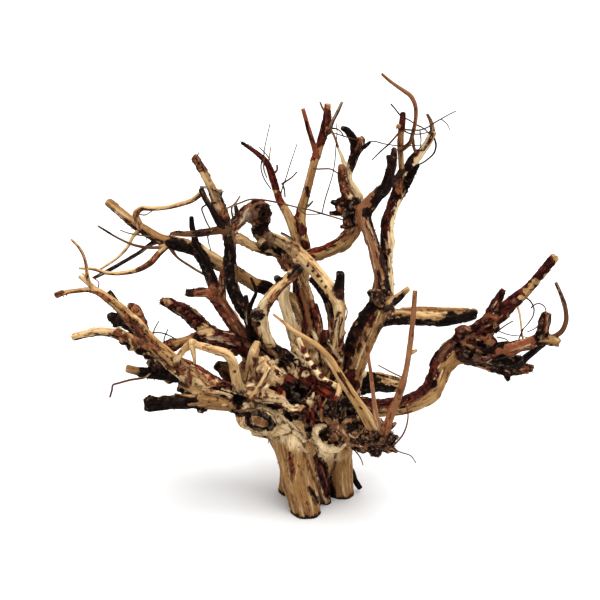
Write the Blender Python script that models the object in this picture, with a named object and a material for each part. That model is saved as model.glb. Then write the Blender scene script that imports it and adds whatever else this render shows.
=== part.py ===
"""Tree-shaped aquarium driftwood: one grown piece of root wood that stands on its sawn foot.

The limbs are laid out as they are seen from the front, on an imagined sheet 600 mm square that faces the
viewer and passes through the middle of the foot. Every place is written in millimetres as (across, down)
on that sheet, from its upper left corner, with the depth behind the foot's middle, which is less than zero
for what comes towards the viewer. A line of sight from the viewer through the sheet to that depth gives the
place in space. The foot stands on z = 0 with its middle at the origin, and the viewer looks along +Y.
"""

import math

import bmesh
import bpy
from mathutils import Vector
from mathutils.geometry import intersect_point_line

NAME = "driftwood"
MILLIMETRE = 0.001

# How the sheet stands: the viewer looks down on the wood by this angle, at the middle of the sheet.
VIEW_SLOPE = math.radians(18)
VIEW_DISTANCE = 1200
SHEET_MIDDLE = (300, 300)
FOOT_MIDDLE = (316, 500)

# Limbs by name, each a route of (across, down, back, thickness) from where it grows out to its tip.
TRUNK = {
    "core": ((314, 505, 16, 38), (312, 475, 13, 41), (311, 446, 6, 58), (304, 415, 2, 70), (299, 392, 3, 62),
             (300, 372, 6, 48), (303, 354, 12, 34)),
    "front lobe": ((292, 420, -4, 46), (294, 440, -13, 43), (296, 460, -18, 37), (298, 480, -22, 32),
                   (304, 500, -25, 29), (308, 534, -26, 27)),
    "front left lobe": ((286, 428, -2, 30), (293, 450, -5, 32), (299, 470, -8, 32), (303, 490, -10, 31),
                        (304, 530, -10, 31)),
    "left strand": ((274, 424, 10, 24), (284, 445, 12, 22), (289.5, 465, 15, 21), (291, 480, 18, 22),
                    (290, 500, 21, 23.5), (290, 530, 22, 24)),
    "middle strand": ((307, 444, -26, 14), (313, 460, -25, 13.5), (318.5, 477, -20, 12.5), (323, 490, -12, 11.5),
                      (326, 502, -5, 10.5), (327, 534, -5, 10.5)),
    "right lobe": ((337, 438, 4, 32), (339.5, 458, 10, 26), (340.5, 480, 13, 24), (342, 500, 14, 25),
                   (342, 530, 14, 25)),
    "back lobe": ((318, 425, 22, 48), (319, 455, 26, 42), (320, 485, 26, 40), (320, 540, 26, 38)),
    "left shoulder": ((312, 428, -4, 44), (292, 420, -8, 46), (275, 413, -12, 46), (258, 410, -16, 42),
                      (244, 402, -18, 32)),
    "left crown": ((296, 404, 2, 58), (276, 392, 0, 50), (258, 376, -2, 38), (248, 360, 0, 22)),
    "right shoulder": ((300, 420, 0, 44), (320, 412, 2, 44), (338, 402, 3, 38), (348, 388, 2, 30)),
    "black twig": ((345, 460, 16, 7), (351, 471, 17, 6), (356, 482, 17, 5), (360, 488, 17, 5)),
}

LEFT_SIDE = {
    "left arm": ((262, 409, -12, 36), (245, 401, -14, 29), (226, 394.5, -18, 24), (209, 386, -22, 24),
                 (194, 376, -26, 23), (180, 367, -30, 18.5), (168, 359, -35, 15)),
    "reaching limb": ((177, 365, -32, 16), (166, 355, -37, 14.5), (157, 347, -40, 14), (147, 337, -44, 13.5),
                      (137, 325, -48, 13.5), (127, 315, -52, 11), (118, 306, -56, 9), (108, 298, -60, 8),
                      (99, 292, -63, 8), (88, 289.5, -66, 6), (75, 291, -70, 5.2), (63, 293, -72, 5.4),
                      (55, 296, -73, 5.8)),
    "reaching twig": ((95, 291, -64, 6), (90, 284, -66, 4.6), (87, 274, -67, 4), (86, 264, -68, 3.5),
                      (83, 254, -70, 3.2), (78, 246, -72, 2.8), (71, 239, -74, 2.2)),
    "reaching stub": ((95, 289, -63, 5.5), (86, 281, -59, 4.8), (79, 276, -57, 3.2)),
    "under arm bark": ((250, 404, -18, 30), (228, 397, -24, 24), (206, 392, -28, 20), (190, 388, -30, 15),
                       (178, 386, -30, 9)),
    "lower left limb": ((178, 366, -31, 16), (166, 359, -28, 14.5), (154, 352, -26, 14), (142, 346, -24, 13),
                        (130, 340, -22, 11), (120, 335, -20, 9.6), (110, 332, -19, 8.6), (100, 331, -18, 8.2),
                        (88, 333.5, -17, 7.6), (72, 337, -15, 8)),
    "black left stubs": ((150, 352, -22, 11), (141, 338, -11, 12), (132, 326, -4, 12.5), (123, 321, 1, 12),
                         (115, 319, 4, 9.5), (108, 317, 6, 6)),
    "black left twig": ((127, 324, -2, 9), (121, 312, 3, 6.6), (115, 300, 6, 5.4), (109, 291, 8, 4)),
    "brown left knob": ((156, 354, -22, 12), (149, 342, -2, 12.5), (143, 329, 16, 12.5), (138, 317, 30, 12.5),
                        (133, 307, 42, 7.5)),
    "middle left stub": ((210, 385, -16, 17), (194, 378, -8, 15), (180, 375, -1, 14), (168, 374, 4, 13),
                         (155, 373, 9, 11.5), (143, 372, 13, 9.5), (134, 370, 16, 8.4), (126, 368, 18, 7.4)),
    "dark left stub": ((264, 410, -15, 28), (247, 405, -22, 20), (230, 402, -27, 18), (214, 401, -32, 17),
                       (200, 400, -36, 15.6), (188, 401, -40, 14.6), (175, 402, -44, 13.6), (162, 403, -48, 13.2),
                       (145, 405, -53, 13.6)),
    "arched loop": ((246, 401, -14, 15), (238, 385, -34, 11.4), (234.5, 371, -46, 10), (232, 360, -52, 9.6),
                    (224, 353, -56, 9), (212, 349.5, -58, 8.2), (200, 346, -57, 8), (191, 344, -53, 8),
                    (184, 350, -48, 7.2), (178, 358, -42, 6.6), (173, 364, -36, 7)),
    "loop spur": ((192, 345, -55, 7), (193.5, 354, -57, 4.8), (195, 364, -59, 3)),
    "red knotty limb": ((268, 366, -4, 26), (256, 354, -6, 19), (243, 346, -8, 17), (228, 340, -10, 17.5),
                        (213, 338, -12, 17), (202, 337, -10, 13.5), (192, 339, -8, 10), (182, 342, -6, 9.4),
                        (173, 345, -5, 12), (165, 349, -4, 12)),
    "dark rough stub": ((240, 348, 0, 16), (224, 340, 6, 15), (212, 333, 11, 14), (203, 327, 16, 13),
                        (195, 320, 20, 14.4), (186, 312, 25, 13.6), (177, 307, 29, 11.6), (169, 303, 33, 9.6),
                        (161, 301, 36, 7)),
    "red fork": ((270, 372, 8, 26), (256, 358, 8, 19), (245, 343, 9, 15), (236, 328, 10, 13.5),
                 (227, 314, 13, 12.6), (219, 302, 17, 13.4), (213, 290, 20, 13)),
    "red fork left": ((217, 298, 17, 12), (206, 293, 14, 9.8), (195, 293, 11, 8.6), (186, 293, 8, 7)),
    "red fork stem": ((215, 295, 18, 12), (212, 282, 25, 10.6), (208, 271, 31, 10.6), (204, 261, 38, 10.6),
                      (199, 253, 44, 11), (196, 247, 49, 12)),
    "red strand": ((222, 302, 14, 9), (222, 288, 13, 8), (222, 276, 12, 7.4), (226, 264, 10, 6.4)),
    "upper left limb": ((304, 318, 36, 15), (296, 303, 40, 14.5), (283, 295, 42, 13), (268, 289, 44, 12.6),
                        (255, 284, 46, 13), (243, 277, 48, 13), (231, 270, 50, 13.6), (218, 263, 50, 14),
                        (206, 256, 49, 14.4), (196, 249, 50, 15), (184, 246, 52, 14), (172, 243, 55, 12.4),
                        (160, 239, 58, 10.6), (148, 232, 61, 10.6), (137, 225, 64, 10), (127, 217.5, 68, 9.2),
                        (117, 209, 72, 8.8), (107, 201, 76, 8.2)),
    "cross twig": ((141, 229, 62, 8.5), (138, 221, 59, 7.2), (136, 213.5, 55, 6.8), (141, 208.5, 51, 5.4),
                   (152, 208.5, 47, 4.6), (168, 207.2, 40, 4.4), (182, 203.5, 32, 4.6), (193, 199.5, 24, 4.8),
                   (202, 192, 16, 5.4)),
    "upper rootlet": ((170, 243, 54, 6), (160, 247, 51, 4), (148, 247.5, 47, 3.2), (134, 245, 42, 2.8),
                      (120, 239, 36, 2.4), (98, 226, 26, 1.8)),
    "hanging rootlet": ((168, 244, 54, 7), (160, 252, 49, 5.6), (150, 263, 41, 5.4), (137, 270, 34, 4.8),
                        (122, 273, 26, 4.2), (108, 273, 18, 3.6), (93, 269, 10, 3), (79, 268, 4, 2.4)),
    "dark rootlet": ((162, 240, 58, 6), (152, 243.5, 61, 4.2), (140, 252, 66, 3.8), (127, 260, 70, 3.8),
                     (113, 268, 73, 3.6), (94, 278, 78, 3.2)),
    "pale rootlet": ((141, 229, 62, 5.6), (134, 235, 57, 3.8), (128, 246, 52, 3.2), (118, 257, 46, 2.8),
                     (99, 270, 35, 2.2)),
    "lower rootlet": ((168, 244, 55, 6), (176, 256, 50, 3), (190, 266, 42, 2.6), (205, 275, 34, 2.4),
                      (216, 281, 24, 3.4)),
}

CENTRE = {
    "dark upright stem": ((303, 372, -4, 24), (291, 361, -6, 16), (279, 354, -8, 13.6), (268, 344, -9, 13),
                          (258, 332, -9, 12.6), (250, 318, -8, 12.6), (242, 307, -6, 12.6), (236, 296, -3, 12.4),
                          (232, 284, 0, 11.6), (231, 272, 4, 11.6), (230, 260, 8, 12), (230, 249, 10, 11.4),
                          (228, 237, 12, 11), (225, 225, 14, 12), (221, 212, 15, 12.6), (217, 200, 16, 12),
                          (212, 189, 14, 9.8), (207, 179, 13, 8.6), (201, 168, 12, 8.6), (194, 156, 10, 8.8)),
    "leaning stick": ((224, 230, 11, 8), (217, 219, 5, 6), (211, 208, 3, 5.4), (206, 200, 5, 5.2),
                      (201, 189, 10, 5)),
    "side twig": ((227, 229, 12, 10), (213, 231, 5, 8.2), (200, 233, -1, 7.2), (188, 234, -8, 6.2),
                  (170, 234, -17, 5.2)),
    "black upright": ((197, 252, 50, 10), (194.5, 237, 48, 5.6), (192, 226, 46, 5), (191.5, 217, 44, 4)),
    "thorn twig": ((255, 346, -4, 9), (250, 334, -11, 6.6), (248, 320, -16, 5.8), (247, 308, -20, 5.2),
                   (246, 296, -23, 4)),
    "thorn fork": ((248, 312, -19, 5), (253, 300, -22, 3.8), (256, 293, -24, 3.2), (251, 278, -27, 2.4)),
    "gnarled arch": ((225, 235, 13, 11), (231, 228, 20, 13), (239, 221, 26, 12.4), (247, 212, 31, 13),
                     (257, 208, 36, 17), (263.5, 216, 40, 15.4), (259, 227, 43, 15), (263, 235, 45, 15),
                     (276, 243, 46, 12)),
    "arch stub": ((239, 221, 26, 8), (237, 213, 25, 5), (235.5, 206, 24, 3.4)),
    "pale wedge": ((228, 241, 12, 10), (237, 238.5, 20, 10), (247, 243, 29, 9.6), (257, 248, 37, 9.6),
                   (266, 250, 43, 11), (276, 251, 46, 11.4), (284, 256, 46, 11)),
    "cross knots": ((276, 243, 45, 12), (283, 250, 46, 13.4), (284, 259, 46, 13), (290, 269, 45, 12)),
    "long diagonal": ((336, 384, -2, 22), (337, 366, -12, 14), (338, 348, -18, 11.4), (339, 331, -20, 11.2),
                      (340, 316, -21, 12), (339, 304, -20, 13.4), (333, 293, -16, 14.2), (324, 281, -9, 13.8),
                      (314, 269, 1, 13.6), (303, 258, 13, 13.4), (292, 248, 25, 12.8), (281, 241, 35, 11.4),
                      (269, 236, 43, 9)),
    "red bridge": ((322, 388, 6, 26), (324, 364, 9, 21), (325, 346, 9, 15), (326, 331, 7, 8)),
    "red edge strand": ((322, 356, 14, 12), (321, 338, 20, 8.6), (318, 322, 26, 7.4), (313, 304, 34, 7)),
    "gap strand": ((342, 390, -4, 24), (347, 366, -6, 15), (347, 346, -4, 9)),
    "dark strand": ((336, 352, -12, 9), (333, 331, -12, 9), (331.5, 315, -10, 8.8), (328, 301, -6, 8.4),
                    (320, 288, 1, 7.6), (311, 278, 8, 7)),
    "diagonal stub": ((339, 306, -19, 10.4), (339.5, 294, -21, 9.2), (340, 283, -23, 8.6), (340, 272, -25, 8)),
    "cross bar": ((270, 346, -8, 14), (264.5, 332, -18, 12), (262.5, 320, -23, 12.6), (263.5, 309, -26, 12.6),
                  (269, 299, -28, 11.6), (277, 289, -29, 11.4), (286, 280.5, -28, 11), (301, 266.5, -22, 9.6)),
    "cut knob": ((262, 314, -25, 10), (254.5, 315, -33, 11.6)),
    "pale rear stem": ((302, 366, 12, 24), (300, 350, 20, 15), (295, 337, 23, 12.6), (290, 323, 25, 11.4),
                       (286, 309, 27, 11.4), (283.5, 297, 29, 11.4), (287, 284, 31, 9.6)),
    "red stem": ((312, 374, 12, 30), (312, 354, 22, 22), (311.5, 336, 29, 19), (310, 319, 34, 17),
                 (306.5, 303, 38, 15.4), (303, 289, 41, 14.4), (298, 276, 43, 13.6), (292, 264, 45, 12.4),
                 (286, 253, 46, 11)),
    "tall stem": ((301, 284, 43, 14), (304, 269, 47, 12.6), (306.5, 256, 51, 11.6), (305, 244, 53, 10.2),
                  (302, 232, 55, 9.6), (301, 220, 57, 9.6), (302, 208, 59, 9.2), (305, 197, 60, 9),
                  (308, 186, 61, 9), (311, 174, 62, 8.6), (314, 163, 63, 8.6), (318, 152, 64, 8.2),
                  (321, 142, 65, 8), (324, 132, 66, 8.6), (327, 118, 68, 8), (328, 103, 69, 6.4)),
    "tall stem prong": ((317.5, 158, 63, 7), (313, 143, 60, 5.2), (309, 130, 57, 4.8), (303, 109, 52, 4)),
    "tall stem knob": ((324, 134, 66, 7), (330, 129, 62, 8)),
    "tall stem twig": ((329, 131, 63, 6), (333, 121, 61, 4), (337, 113, 59, 3.4), (342, 102, 57, 2.9)),
    "forked stem": ((298, 264, 45, 14), (299.5, 248, 53, 12.6), (296, 233, 58, 12), (290.5, 220, 61, 10.6),
                    (286, 211, 64, 9), (281, 202, 67, 7.6), (277, 193, 69, 7.2), (274, 184, 71, 7.2),
                    (271, 173, 74, 6.8), (267, 163, 77, 6.2), (259, 155, 80, 5), (241, 142, 86, 3.8)),
    "arched branch": ((298, 262, 42, 13), (308, 257, 36, 12), (319, 253.5, 32, 12.8), (330, 249.5, 28, 14),
                      (341, 244, 24, 15), (350, 236, 20, 15.6), (355.5, 224, 17, 15.6), (357, 210, 15, 16)),
    "burl spike upper": ((348, 206, 16, 9), (340, 204, 13, 7), (331, 201, 10, 4.4)),
    "burl spike middle": ((350, 213, 16, 8), (342, 213, 13, 6.2), (330, 213, 9, 3.6)),
    "burl spike lower": ((354, 222, 17, 8), (348, 226, 14, 5.4), (341, 227, 11, 3.4)),
    "burl prong": ((349, 206, 15, 11), (345, 190, 13, 9), (342, 178, 11, 8), (341, 165, 9, 6.4)),
    "pale prong": ((357, 208, 16, 11), (359.5, 199, 18, 9), (355, 190.5, 19, 8.6), (349.5, 182, 18, 8.2),
                   (346, 172, 17, 7), (343.5, 162, 16, 5.2), (338, 147, 13, 2.8)),
    "black prong": ((348, 180, 17, 8), (349, 172, 18, 7.6), (352, 163, 18, 8.6), (355, 153, 16, 9),
                    (354.5, 144, 13, 8), (350.5, 135, 10, 7), (346, 129.5, 8, 5.8), (341, 128, 6, 4.4)),
    "prong knob": ((354, 156, 16, 8), (358, 149, 13, 8.8), (361, 143, 11, 8.2), (361, 137, 9, 6)),
    "prong spike": ((359, 147.5, 12, 6), (364.5, 146.5, 9, 4.4), (370, 142, 6, 2.6)),
}

RIGHT_SIDE = {
    "right pillar": ((336, 410, -2, 38), (344, 390, -4, 30), (350, 372, -5, 27), (355.5, 356, -5, 27),
                     (361, 340, -4, 27), (367, 326, -3, 26), (375, 314, -2, 24), (384, 301, -1, 19)),
    "pillar knot": ((381, 302, -6, 13), (373, 293, -11, 10.6)),
    "pillar stub": ((382, 308, -5, 13), (390, 303, -10, 9.6), (396.5, 298.5, -13, 8.2), (403, 293, -17, 6.6),
                    (409, 287, -20, 4.4)),
    "upright fork": ((385, 312, -2, 19), (384, 299, -1, 15.6), (382, 286, 0, 14.6), (380.5, 273, 1, 14),
                     (377, 260, 2, 12.8), (373.5, 247, 3, 12.2), (369, 234, 4, 12.2), (365, 223, 5, 12.6),
                     (364, 213, 6, 14.4), (369, 205, 5, 14.4), (376, 196.5, 2, 13), (385, 187, -1, 11.6),
                     (388.5, 177.5, -3, 9), (391.5, 167, -6, 9), (394.5, 148, -11, 5.4)),
    "fork stub": ((391.5, 166, -6, 7), (388, 156, -9, 4)),
    "far right limb": ((385, 312, 2, 17), (387, 298, 6, 12.6), (388, 284, 10, 10.8), (387.5, 270, 14, 10.4),
                       (387, 256, 16, 12.6), (388, 243, 18, 13.4), (387.5, 231, 20, 12.4), (389, 219, 22, 11.6),
                       (392.5, 208, 24, 11.8), (397, 197, 27, 12.6), (401, 187, 30, 12.8), (404.5, 178, 32, 12),
                       (409, 169, 34, 9.6), (415.5, 160.5, 36, 8.2), (422, 152, 38, 7.6), (428, 143, 40, 7.6),
                       (434, 131, 42, 8)),
    "far right twig": ((433, 134, 41, 6.4), (431, 122, 42, 4), (427, 114, 43, 2.8)),
    "black side stub": ((402, 192, 29, 10), (406.5, 183, 24, 8.6), (411, 175, 19, 7.4), (418, 164.5, 12, 3.6)),
    "black side limb": ((402, 187, 30, 10), (404.5, 175, 34, 8), (408, 166, 37, 7.4), (412, 159, 39, 7),
                        (420, 149.5, 43, 4.6)),
    "left riser": ((398, 194, 27, 10), (400.5, 182, 24, 7), (401.5, 171, 21, 5.8), (401, 160, 18, 5.6),
                   (400.5, 148, 15, 6), (401, 136, 11, 5.8), (402, 124, 7, 6.2), (403, 113, 4, 5)),
    "riser bridge": ((385, 184, 0, 8), (391, 181, 7, 5.6), (397, 177, 14, 5.4), (402, 170, 20, 6)),
    "top twig": ((400.5, 150, 15, 5.6), (405, 147.5, 14, 4.8), (409.5, 143.5, 13, 4.2), (412.5, 135, 12, 3.8),
                 (415, 124, 10, 3.8), (416, 114, 8, 4), (415, 104, 5, 4.2), (410.5, 95.5, 2, 4.2),
                 (403.5, 90.5, 0, 3.8), (390, 81, -6, 3.2), (382, 74, -9, 2.8)),
    "level limb": ((364, 326, -2, 24), (377, 319, 4, 19), (390, 316.5, 11, 17.6), (403, 317, 17, 16.4),
                   (418, 318, 24, 15), (433, 318.5, 31, 14.6), (448, 318, 37, 14), (460, 316, 42, 12.4),
                   (470, 313, 46, 9.4), (477, 311, 49, 5.8)),
    "level limb tip": ((458, 317.5, 41, 10.4), (468, 318, 44, 7), (477, 317, 46, 3.8)),
    "rear stub": ((333, 396, 12, 30), (350, 386, 20, 25), (365, 382, 26, 24), (378, 382, 32, 20.4),
                  (390, 384, 37, 16.6), (402, 385, 42, 13)),
    "right arm": ((316, 418, -4, 34), (336, 412, -8, 24), (354, 408.5, -10, 19), (370, 408, -11, 17.6),
                  (387, 408, -12, 17.6), (404, 405, -12, 17.8), (419, 399.5, -11, 18.8), (431, 390.5, -9, 20.6),
                  (437.5, 378.5, -7, 21.6), (442, 366, -5, 22.8), (450, 355.5, -4, 25), (461, 348.5, -4, 26.6),
                  (473, 340.5, -5, 25), (484, 329.5, -7, 21), (495, 318, -10, 17), (506, 308, -12, 13.6),
                  (517, 299, -15, 12), (527, 290, -17, 9.8), (537, 279, -20, 9), (548, 266, -23, 9),
                  (556, 256, -26, 8.8)),
    "arm spur": ((488, 322, -10, 15), (492, 311.5, -16, 11), (496, 303, -20, 9.4), (504, 290, -27, 4.6)),
    "lower prong": ((463, 350, -8, 24), (480, 353, -15, 18.6), (495, 351.5, -21, 15.6), (510, 348.5, -26, 13.6),
                    (522, 345, -30, 12.2), (534, 341, -33, 12), (546, 338.5, -37, 11), (560, 343, -43, 9)),
    "rear prong": ((461, 353, -2, 22), (474, 357, 1, 18.4), (486, 361, 4, 17.4), (498, 364.5, 7, 16),
                   (510, 368, 9, 14.6), (521, 368.5, 12, 12), (533, 368, 15, 7)),
    "prong web": ((486, 357, -8, 18), (500, 358, -11, 16), (512, 360.5, -10, 12), (523, 358, -14, 6)),
    "rear prong spike": ((500, 365, 7, 11), (506, 372.5, 8, 8.2), (508, 381, 9, 3.6)),
    "prong bridge": ((513, 368, 8, 9), (520, 363, 3, 7.4), (527, 357, -5, 7), (535, 350.5, -16, 6.2),
                     (543, 344, -28, 6)),
    "raised knob": ((541, 341, -35, 12), (542, 332, -36, 12.6), (544, 322, -38, 10.4), (546, 312, -39, 5.6)),
    "knob spike": ((544, 328, -37, 7), (548, 323, -40, 5.4), (550, 314, -42, 3.6)),
    "end twig": ((547, 338.5, -37, 7), (554, 336.5, -39, 5.4), (561, 332, -41, 5), (565.5, 323, -43, 4.8),
                 (565.5, 309, -46, 4.6), (561.5, 296, -49, 4.2), (556, 283, -52, 3.4)),
}

FRONT_BURL = {
    "burl neck": ((316, 402, -16, 40), (332, 411, -33, 34), (346, 419, -48, 36), (359, 427, -62, 38),
                  (372, 434, -75, 32), (384, 440, -86, 21), (391, 443, -92, 11)),
    "long stick": ((379, 431, -88, 8.4), (368, 414, -90, 6.6), (357, 399, -93, 6), (347, 384, -95, 6),
                   (338, 370, -97, 5.8), (329, 357, -98, 5.4), (318, 346, -99, 4.8), (306, 338, -99, 4.4),
                   (293, 330, -99, 4), (283, 322, -99, 3.4), (273, 314, -98, 2.6)),
    "short stick": ((372, 430, -84, 8.4), (362, 413, -84, 7), (351, 396, -83, 6.4), (342, 383, -81, 6.2),
                    (335, 371, -79, 5.4), (329, 362, -77, 4)),
    "tall twig": ((384, 436, -91, 9.4), (391, 414, -96, 8.4), (397, 400, -99, 7.4), (402, 386, -102, 6.8),
                  (406, 370, -105, 6.2), (409, 353, -107, 5.8), (411, 336, -109, 5.4), (413, 318, -110, 5.2),
                  (415, 291, -110, 4.8)),
    "tall twig bud": ((410.5, 353, -107, 4.6), (417, 350, -108, 2.8)),
    "thin stick": ((378, 430, -89, 6.6), (375, 410, -89, 5), (373, 392, -88, 4.4), (371, 375, -86, 3.8),
                   (367, 346, -80, 2.9)),
    "burl spike right": ((385, 430, -91, 8), (391, 426.5, -93, 5.4), (396, 423, -95, 2.8)),
    "burl spike low": ((388, 447, -90, 8), (393, 449.5, -91, 5), (397.5, 452, -92, 3)),
}

CROWN = {
    "eye stub": ((276, 410, -16, 32), (266, 417, -34, 26), (259, 421.5, -50, 21)),
    "pale ledge": ((246, 392, -24, 15), (262, 395, -36, 13.6), (276, 399, -41, 12.6), (290, 405, -43, 11.6),
                   (304, 411, -38, 10)),
    "striped stick": ((252, 398, -36, 7), (260, 386, -44, 5.2), (270, 367, -46, 4.2)),
    "pale swirl": ((292, 394, -20, 26), (280, 382, -27, 22), (269, 370, -27, 17), (261, 358, -22, 13)),
    "cream strand": ((298, 338, -10, 5), (305, 354, -17, 5.2), (313, 367, -23, 5.6), (322, 378, -26, 6),
                     (337, 387, -24, 7)),
    "pale strip": ((250, 380, -20, 14), (252, 364, -25, 12.4), (254, 352, -25, 10.4), (258, 341, -20, 7)),
    "brown stub": ((248, 396, 0, 22), (236, 382, 7, 17), (227, 371, 12, 15), (216, 364, 16, 8)),
    "collar": ((326, 428, -8, 36), (331, 433, -28, 38), (333, 436, -42, 34)),
    "thin rim": ((340, 384, -26, 6), (338, 395, -34, 5.4), (331, 405, -40, 5.4), (322, 416, -40, 7)),
}

# Limbs on the far side, which the other limbs hide from the front.
FAR_SIDE = {
    "far middle limb": ((304, 396, 24, 40), (304, 368, 50, 27), (302, 340, 76, 20), (304, 314, 96, 15),
                        (300, 290, 108, 12), (296, 266, 112, 7)),
    "far middle fork": ((304, 318, 93, 13), (309, 300, 112, 10), (306, 284, 128, 6)),
    "far right root": ((332, 404, 22, 38), (346, 380, 48, 26), (359, 354, 72, 19), (369, 326, 90, 14),
                       (376, 296, 104, 11), (384, 262, 112, 6)),
    "far right fork": ((362, 346, 77, 15), (364, 328, 98, 11), (372, 312, 116, 7)),
    "far left root": ((286, 406, 20, 38), (264, 380, 46, 26), (250, 354, 68, 18), (238, 330, 84, 14),
                      (227, 310, 96, 11), (215, 288, 102, 6)),
    "far left fork": ((252, 358, 65, 15), (236, 344, 86, 11), (226, 338, 100, 7)),
    "far low root": ((334, 412, 22, 32), (352, 408, 46, 22), (368, 405, 62, 15), (384, 404, 70, 8)),
}

# Swellings by name: (across, down, back, diameter).
LUMPS = {
    "overhang": (252, 413, -22, 34),
    "crown brow": (262, 372, -18, 30),
    "burl upper": (348, 410, -58, 24),
    "burl left": (346, 430, -60, 27),
    "burl middle": (362, 441, -72, 24),
    "burl right": (379, 437, -88, 18),
    "burl end": (388, 436, -90, 12),
    "burl corner": (387, 447, -88, 13),
    "burl bottom": (374, 449, -80, 14),
    "burl top": (366, 417, -72, 20),
    "branch burl": (351, 208, 14, 22),
    "branch burl left": (343, 207, 13, 14),
    "branch burl low": (351, 219, 15, 17),
    "branch burl right": (360, 218, 12, 16),
    "arch knot": (265, 211, 36, 11),
    "wedge knot": (263, 245, 39, 11),
    "loop knot": (192, 343, -54, 9.6),
    "stub knot": (202, 408, -37, 10),
    "stub end knot": (150, 401, -51, 11),
    "middle stub knot": (169, 379, 3, 10),
    "middle stub hump": (158, 366, 8, 13),
    "rough stub knot": (197, 324, 15, 12),
    "left flake knot": (146, 352, -24, 11),
    "pillar crown knot": (387, 297, -4, 14),
    "arm knot": (460, 336, -8, 13),
    "arm rise": (490, 343, -14, 14),
    "prong knuckle": (553, 340.5, -40, 12),
    "diagonal knot": (337, 292, -18, 13),
}

# Hollows and knot holes cut into the wood by name: (across, down, back, diameter).
HOLLOWS = {
    "eye": (260, 422.5, -54, 16),
    "eye left corner": (252, 419.5, -50, 13),
    "eye right corner": (267, 425, -48, 13),
    "collar hole": (331, 438, -44, 20),
    "shoulder hole": (239, 399, -33, 13),
    "crown hollow": (296, 399, -43, 22),
    "limb end hole": (165, 350, -12, 6.5),
}

# Long grooves cut into the trunk, as routes of (across, down, back, thickness).
GROOVES = {
    "trunk groove": ((319, 448, -18, 8), (323, 465, -13, 9), (327.5, 482, -7, 9), (332, 500, -1, 8),
                     (333, 536, 1, 8)),
    "foot slot": ((309, 484, -38, 5), (314, 494, -33, 6), (320, 506, -26, 6), (323, 522, -22, 6)),
}

FOOT_CUT = 200
SLIVER = 0.00002
BALL_FACETS = 2

# Sides of a limb are set by its greatest thickness: (at least this thick, bevel resolution).
SIDES = ((24, 3), (10.5, 2), (5, 1), (0, 0))

# A stop of a route that lies this near to the line between its neighbours isn't needed.
BEND_TOLERANCE = 0.0009

# The faces that stay after slivers and nearly flat neighbours are merged.
SHARE_OF_FACES = 0.77

WOOD_COLOUR = (0.36, 0.22, 0.11, 1)
WOOD_ROUGHNESS = 0.85


def sheet_point(across, down):
    """The place on the sheet, which leans back as the viewer looks down on it."""
    rise = FOOT_MIDDLE[1] - down
    return Vector((across - FOOT_MIDDLE[0], rise * math.sin(VIEW_SLOPE), rise * math.cos(VIEW_SLOPE)))


VIEWER = sheet_point(*SHEET_MIDDLE) - VIEW_DISTANCE * Vector((0, math.cos(VIEW_SLOPE), -math.sin(VIEW_SLOPE)))


def sight(across, down, back, thickness):
    """Follow the line of sight to a depth; gives the place and the true thickness there, in metres."""
    ray = sheet_point(across, down) - VIEWER
    reach = (back - VIEWER.y) / ray.y
    return (VIEWER + reach * ray) * MILLIMETRE, thickness * reach * MILLIMETRE


def empty_the_scene():
    for thing in list(bpy.data.objects):
        bpy.data.objects.remove(thing)


def new_collection(name):
    collection = bpy.data.collections.new(name)
    bpy.context.scene.collection.children.link(collection)
    return collection


def bake(thing, name, collection):
    """A mesh object of what a curve or a modified object shows, in its place; the first one is removed."""
    bpy.context.view_layer.update()
    mesh = bpy.data.meshes.new_from_object(thing.evaluated_get(bpy.context.evaluated_depsgraph_get()))
    placement = thing.matrix_world.copy()
    bpy.data.objects.remove(thing)
    solid = bpy.data.objects.new(name, mesh)
    solid.matrix_world = placement
    collection.objects.link(solid)
    return solid


def weld(mesh, distance):
    work = bmesh.new()
    work.from_mesh(mesh)
    bmesh.ops.remove_doubles(work, verts=work.verts, dist=distance)
    bmesh.ops.recalc_face_normals(work, faces=work.faces)
    work.to_mesh(mesh)
    work.free()


def needed_stops(stops):
    """Leave out the stops that lie, in place and thickness, near the line between those kept."""
    (start, start_thickness), (end, end_thickness) = stops[0], stops[-1]
    worst = 0
    for index, (place, thickness) in enumerate(stops[1:-1], 1):
        nearest, share = intersect_point_line(place, start, end)
        expected = start_thickness + share * (end_thickness - start_thickness)
        error = max((place - nearest).length, abs(thickness - expected) / 2)
        if error > worst:
            worst = error
            farthest = index
    if worst < BEND_TOLERANCE:
        return [stops[0], stops[-1]]
    return needed_stops(stops[: farthest + 1])[:-1] + needed_stops(stops[farthest:])


def make_limb(name, route, collection):
    """A round limb of changing thickness along its route, closed at both ends."""
    curve = bpy.data.curves.new(name, "CURVE")
    curve.dimensions = "3D"
    curve.bevel_depth = 1
    curve.use_fill_caps = True
    thickest = max(stop[3] for stop in route)
    curve.bevel_resolution = next(sides for least, sides in SIDES if thickest >= least)
    stops = needed_stops([sight(*stop) for stop in route])
    spline = curve.splines.new("POLY")
    spline.points.add(len(stops) - 1)
    for point, (place, thickness) in zip(spline.points, stops):
        point.co = (*place, 1)
        point.radius = thickness / 2
    tube = bpy.data.objects.new(name, curve)
    collection.objects.link(tube)
    solid = bake(tube, name, collection)
    weld(solid.data, SLIVER)
    return solid


def make_ball(name, spot, collection):
    place, diameter = sight(*spot)
    bpy.ops.mesh.primitive_ico_sphere_add(subdivisions=BALL_FACETS, radius=diameter / 2, location=place)
    ball = bpy.context.object
    ball.name = name
    for owner in list(ball.users_collection):
        owner.objects.unlink(ball)
    collection.objects.link(ball)
    return ball


def make_foot_saw(collection):
    """A block under z = 0, which saws the foot flat."""
    size = FOOT_CUT * MILLIMETRE
    bpy.ops.mesh.primitive_cube_add(size=size, location=(0, 0, -size / 2))
    saw = bpy.context.object
    saw.name = "foot saw"
    for owner in list(saw.users_collection):
        owner.objects.unlink(saw)
    collection.objects.link(saw)
    return saw


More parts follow.
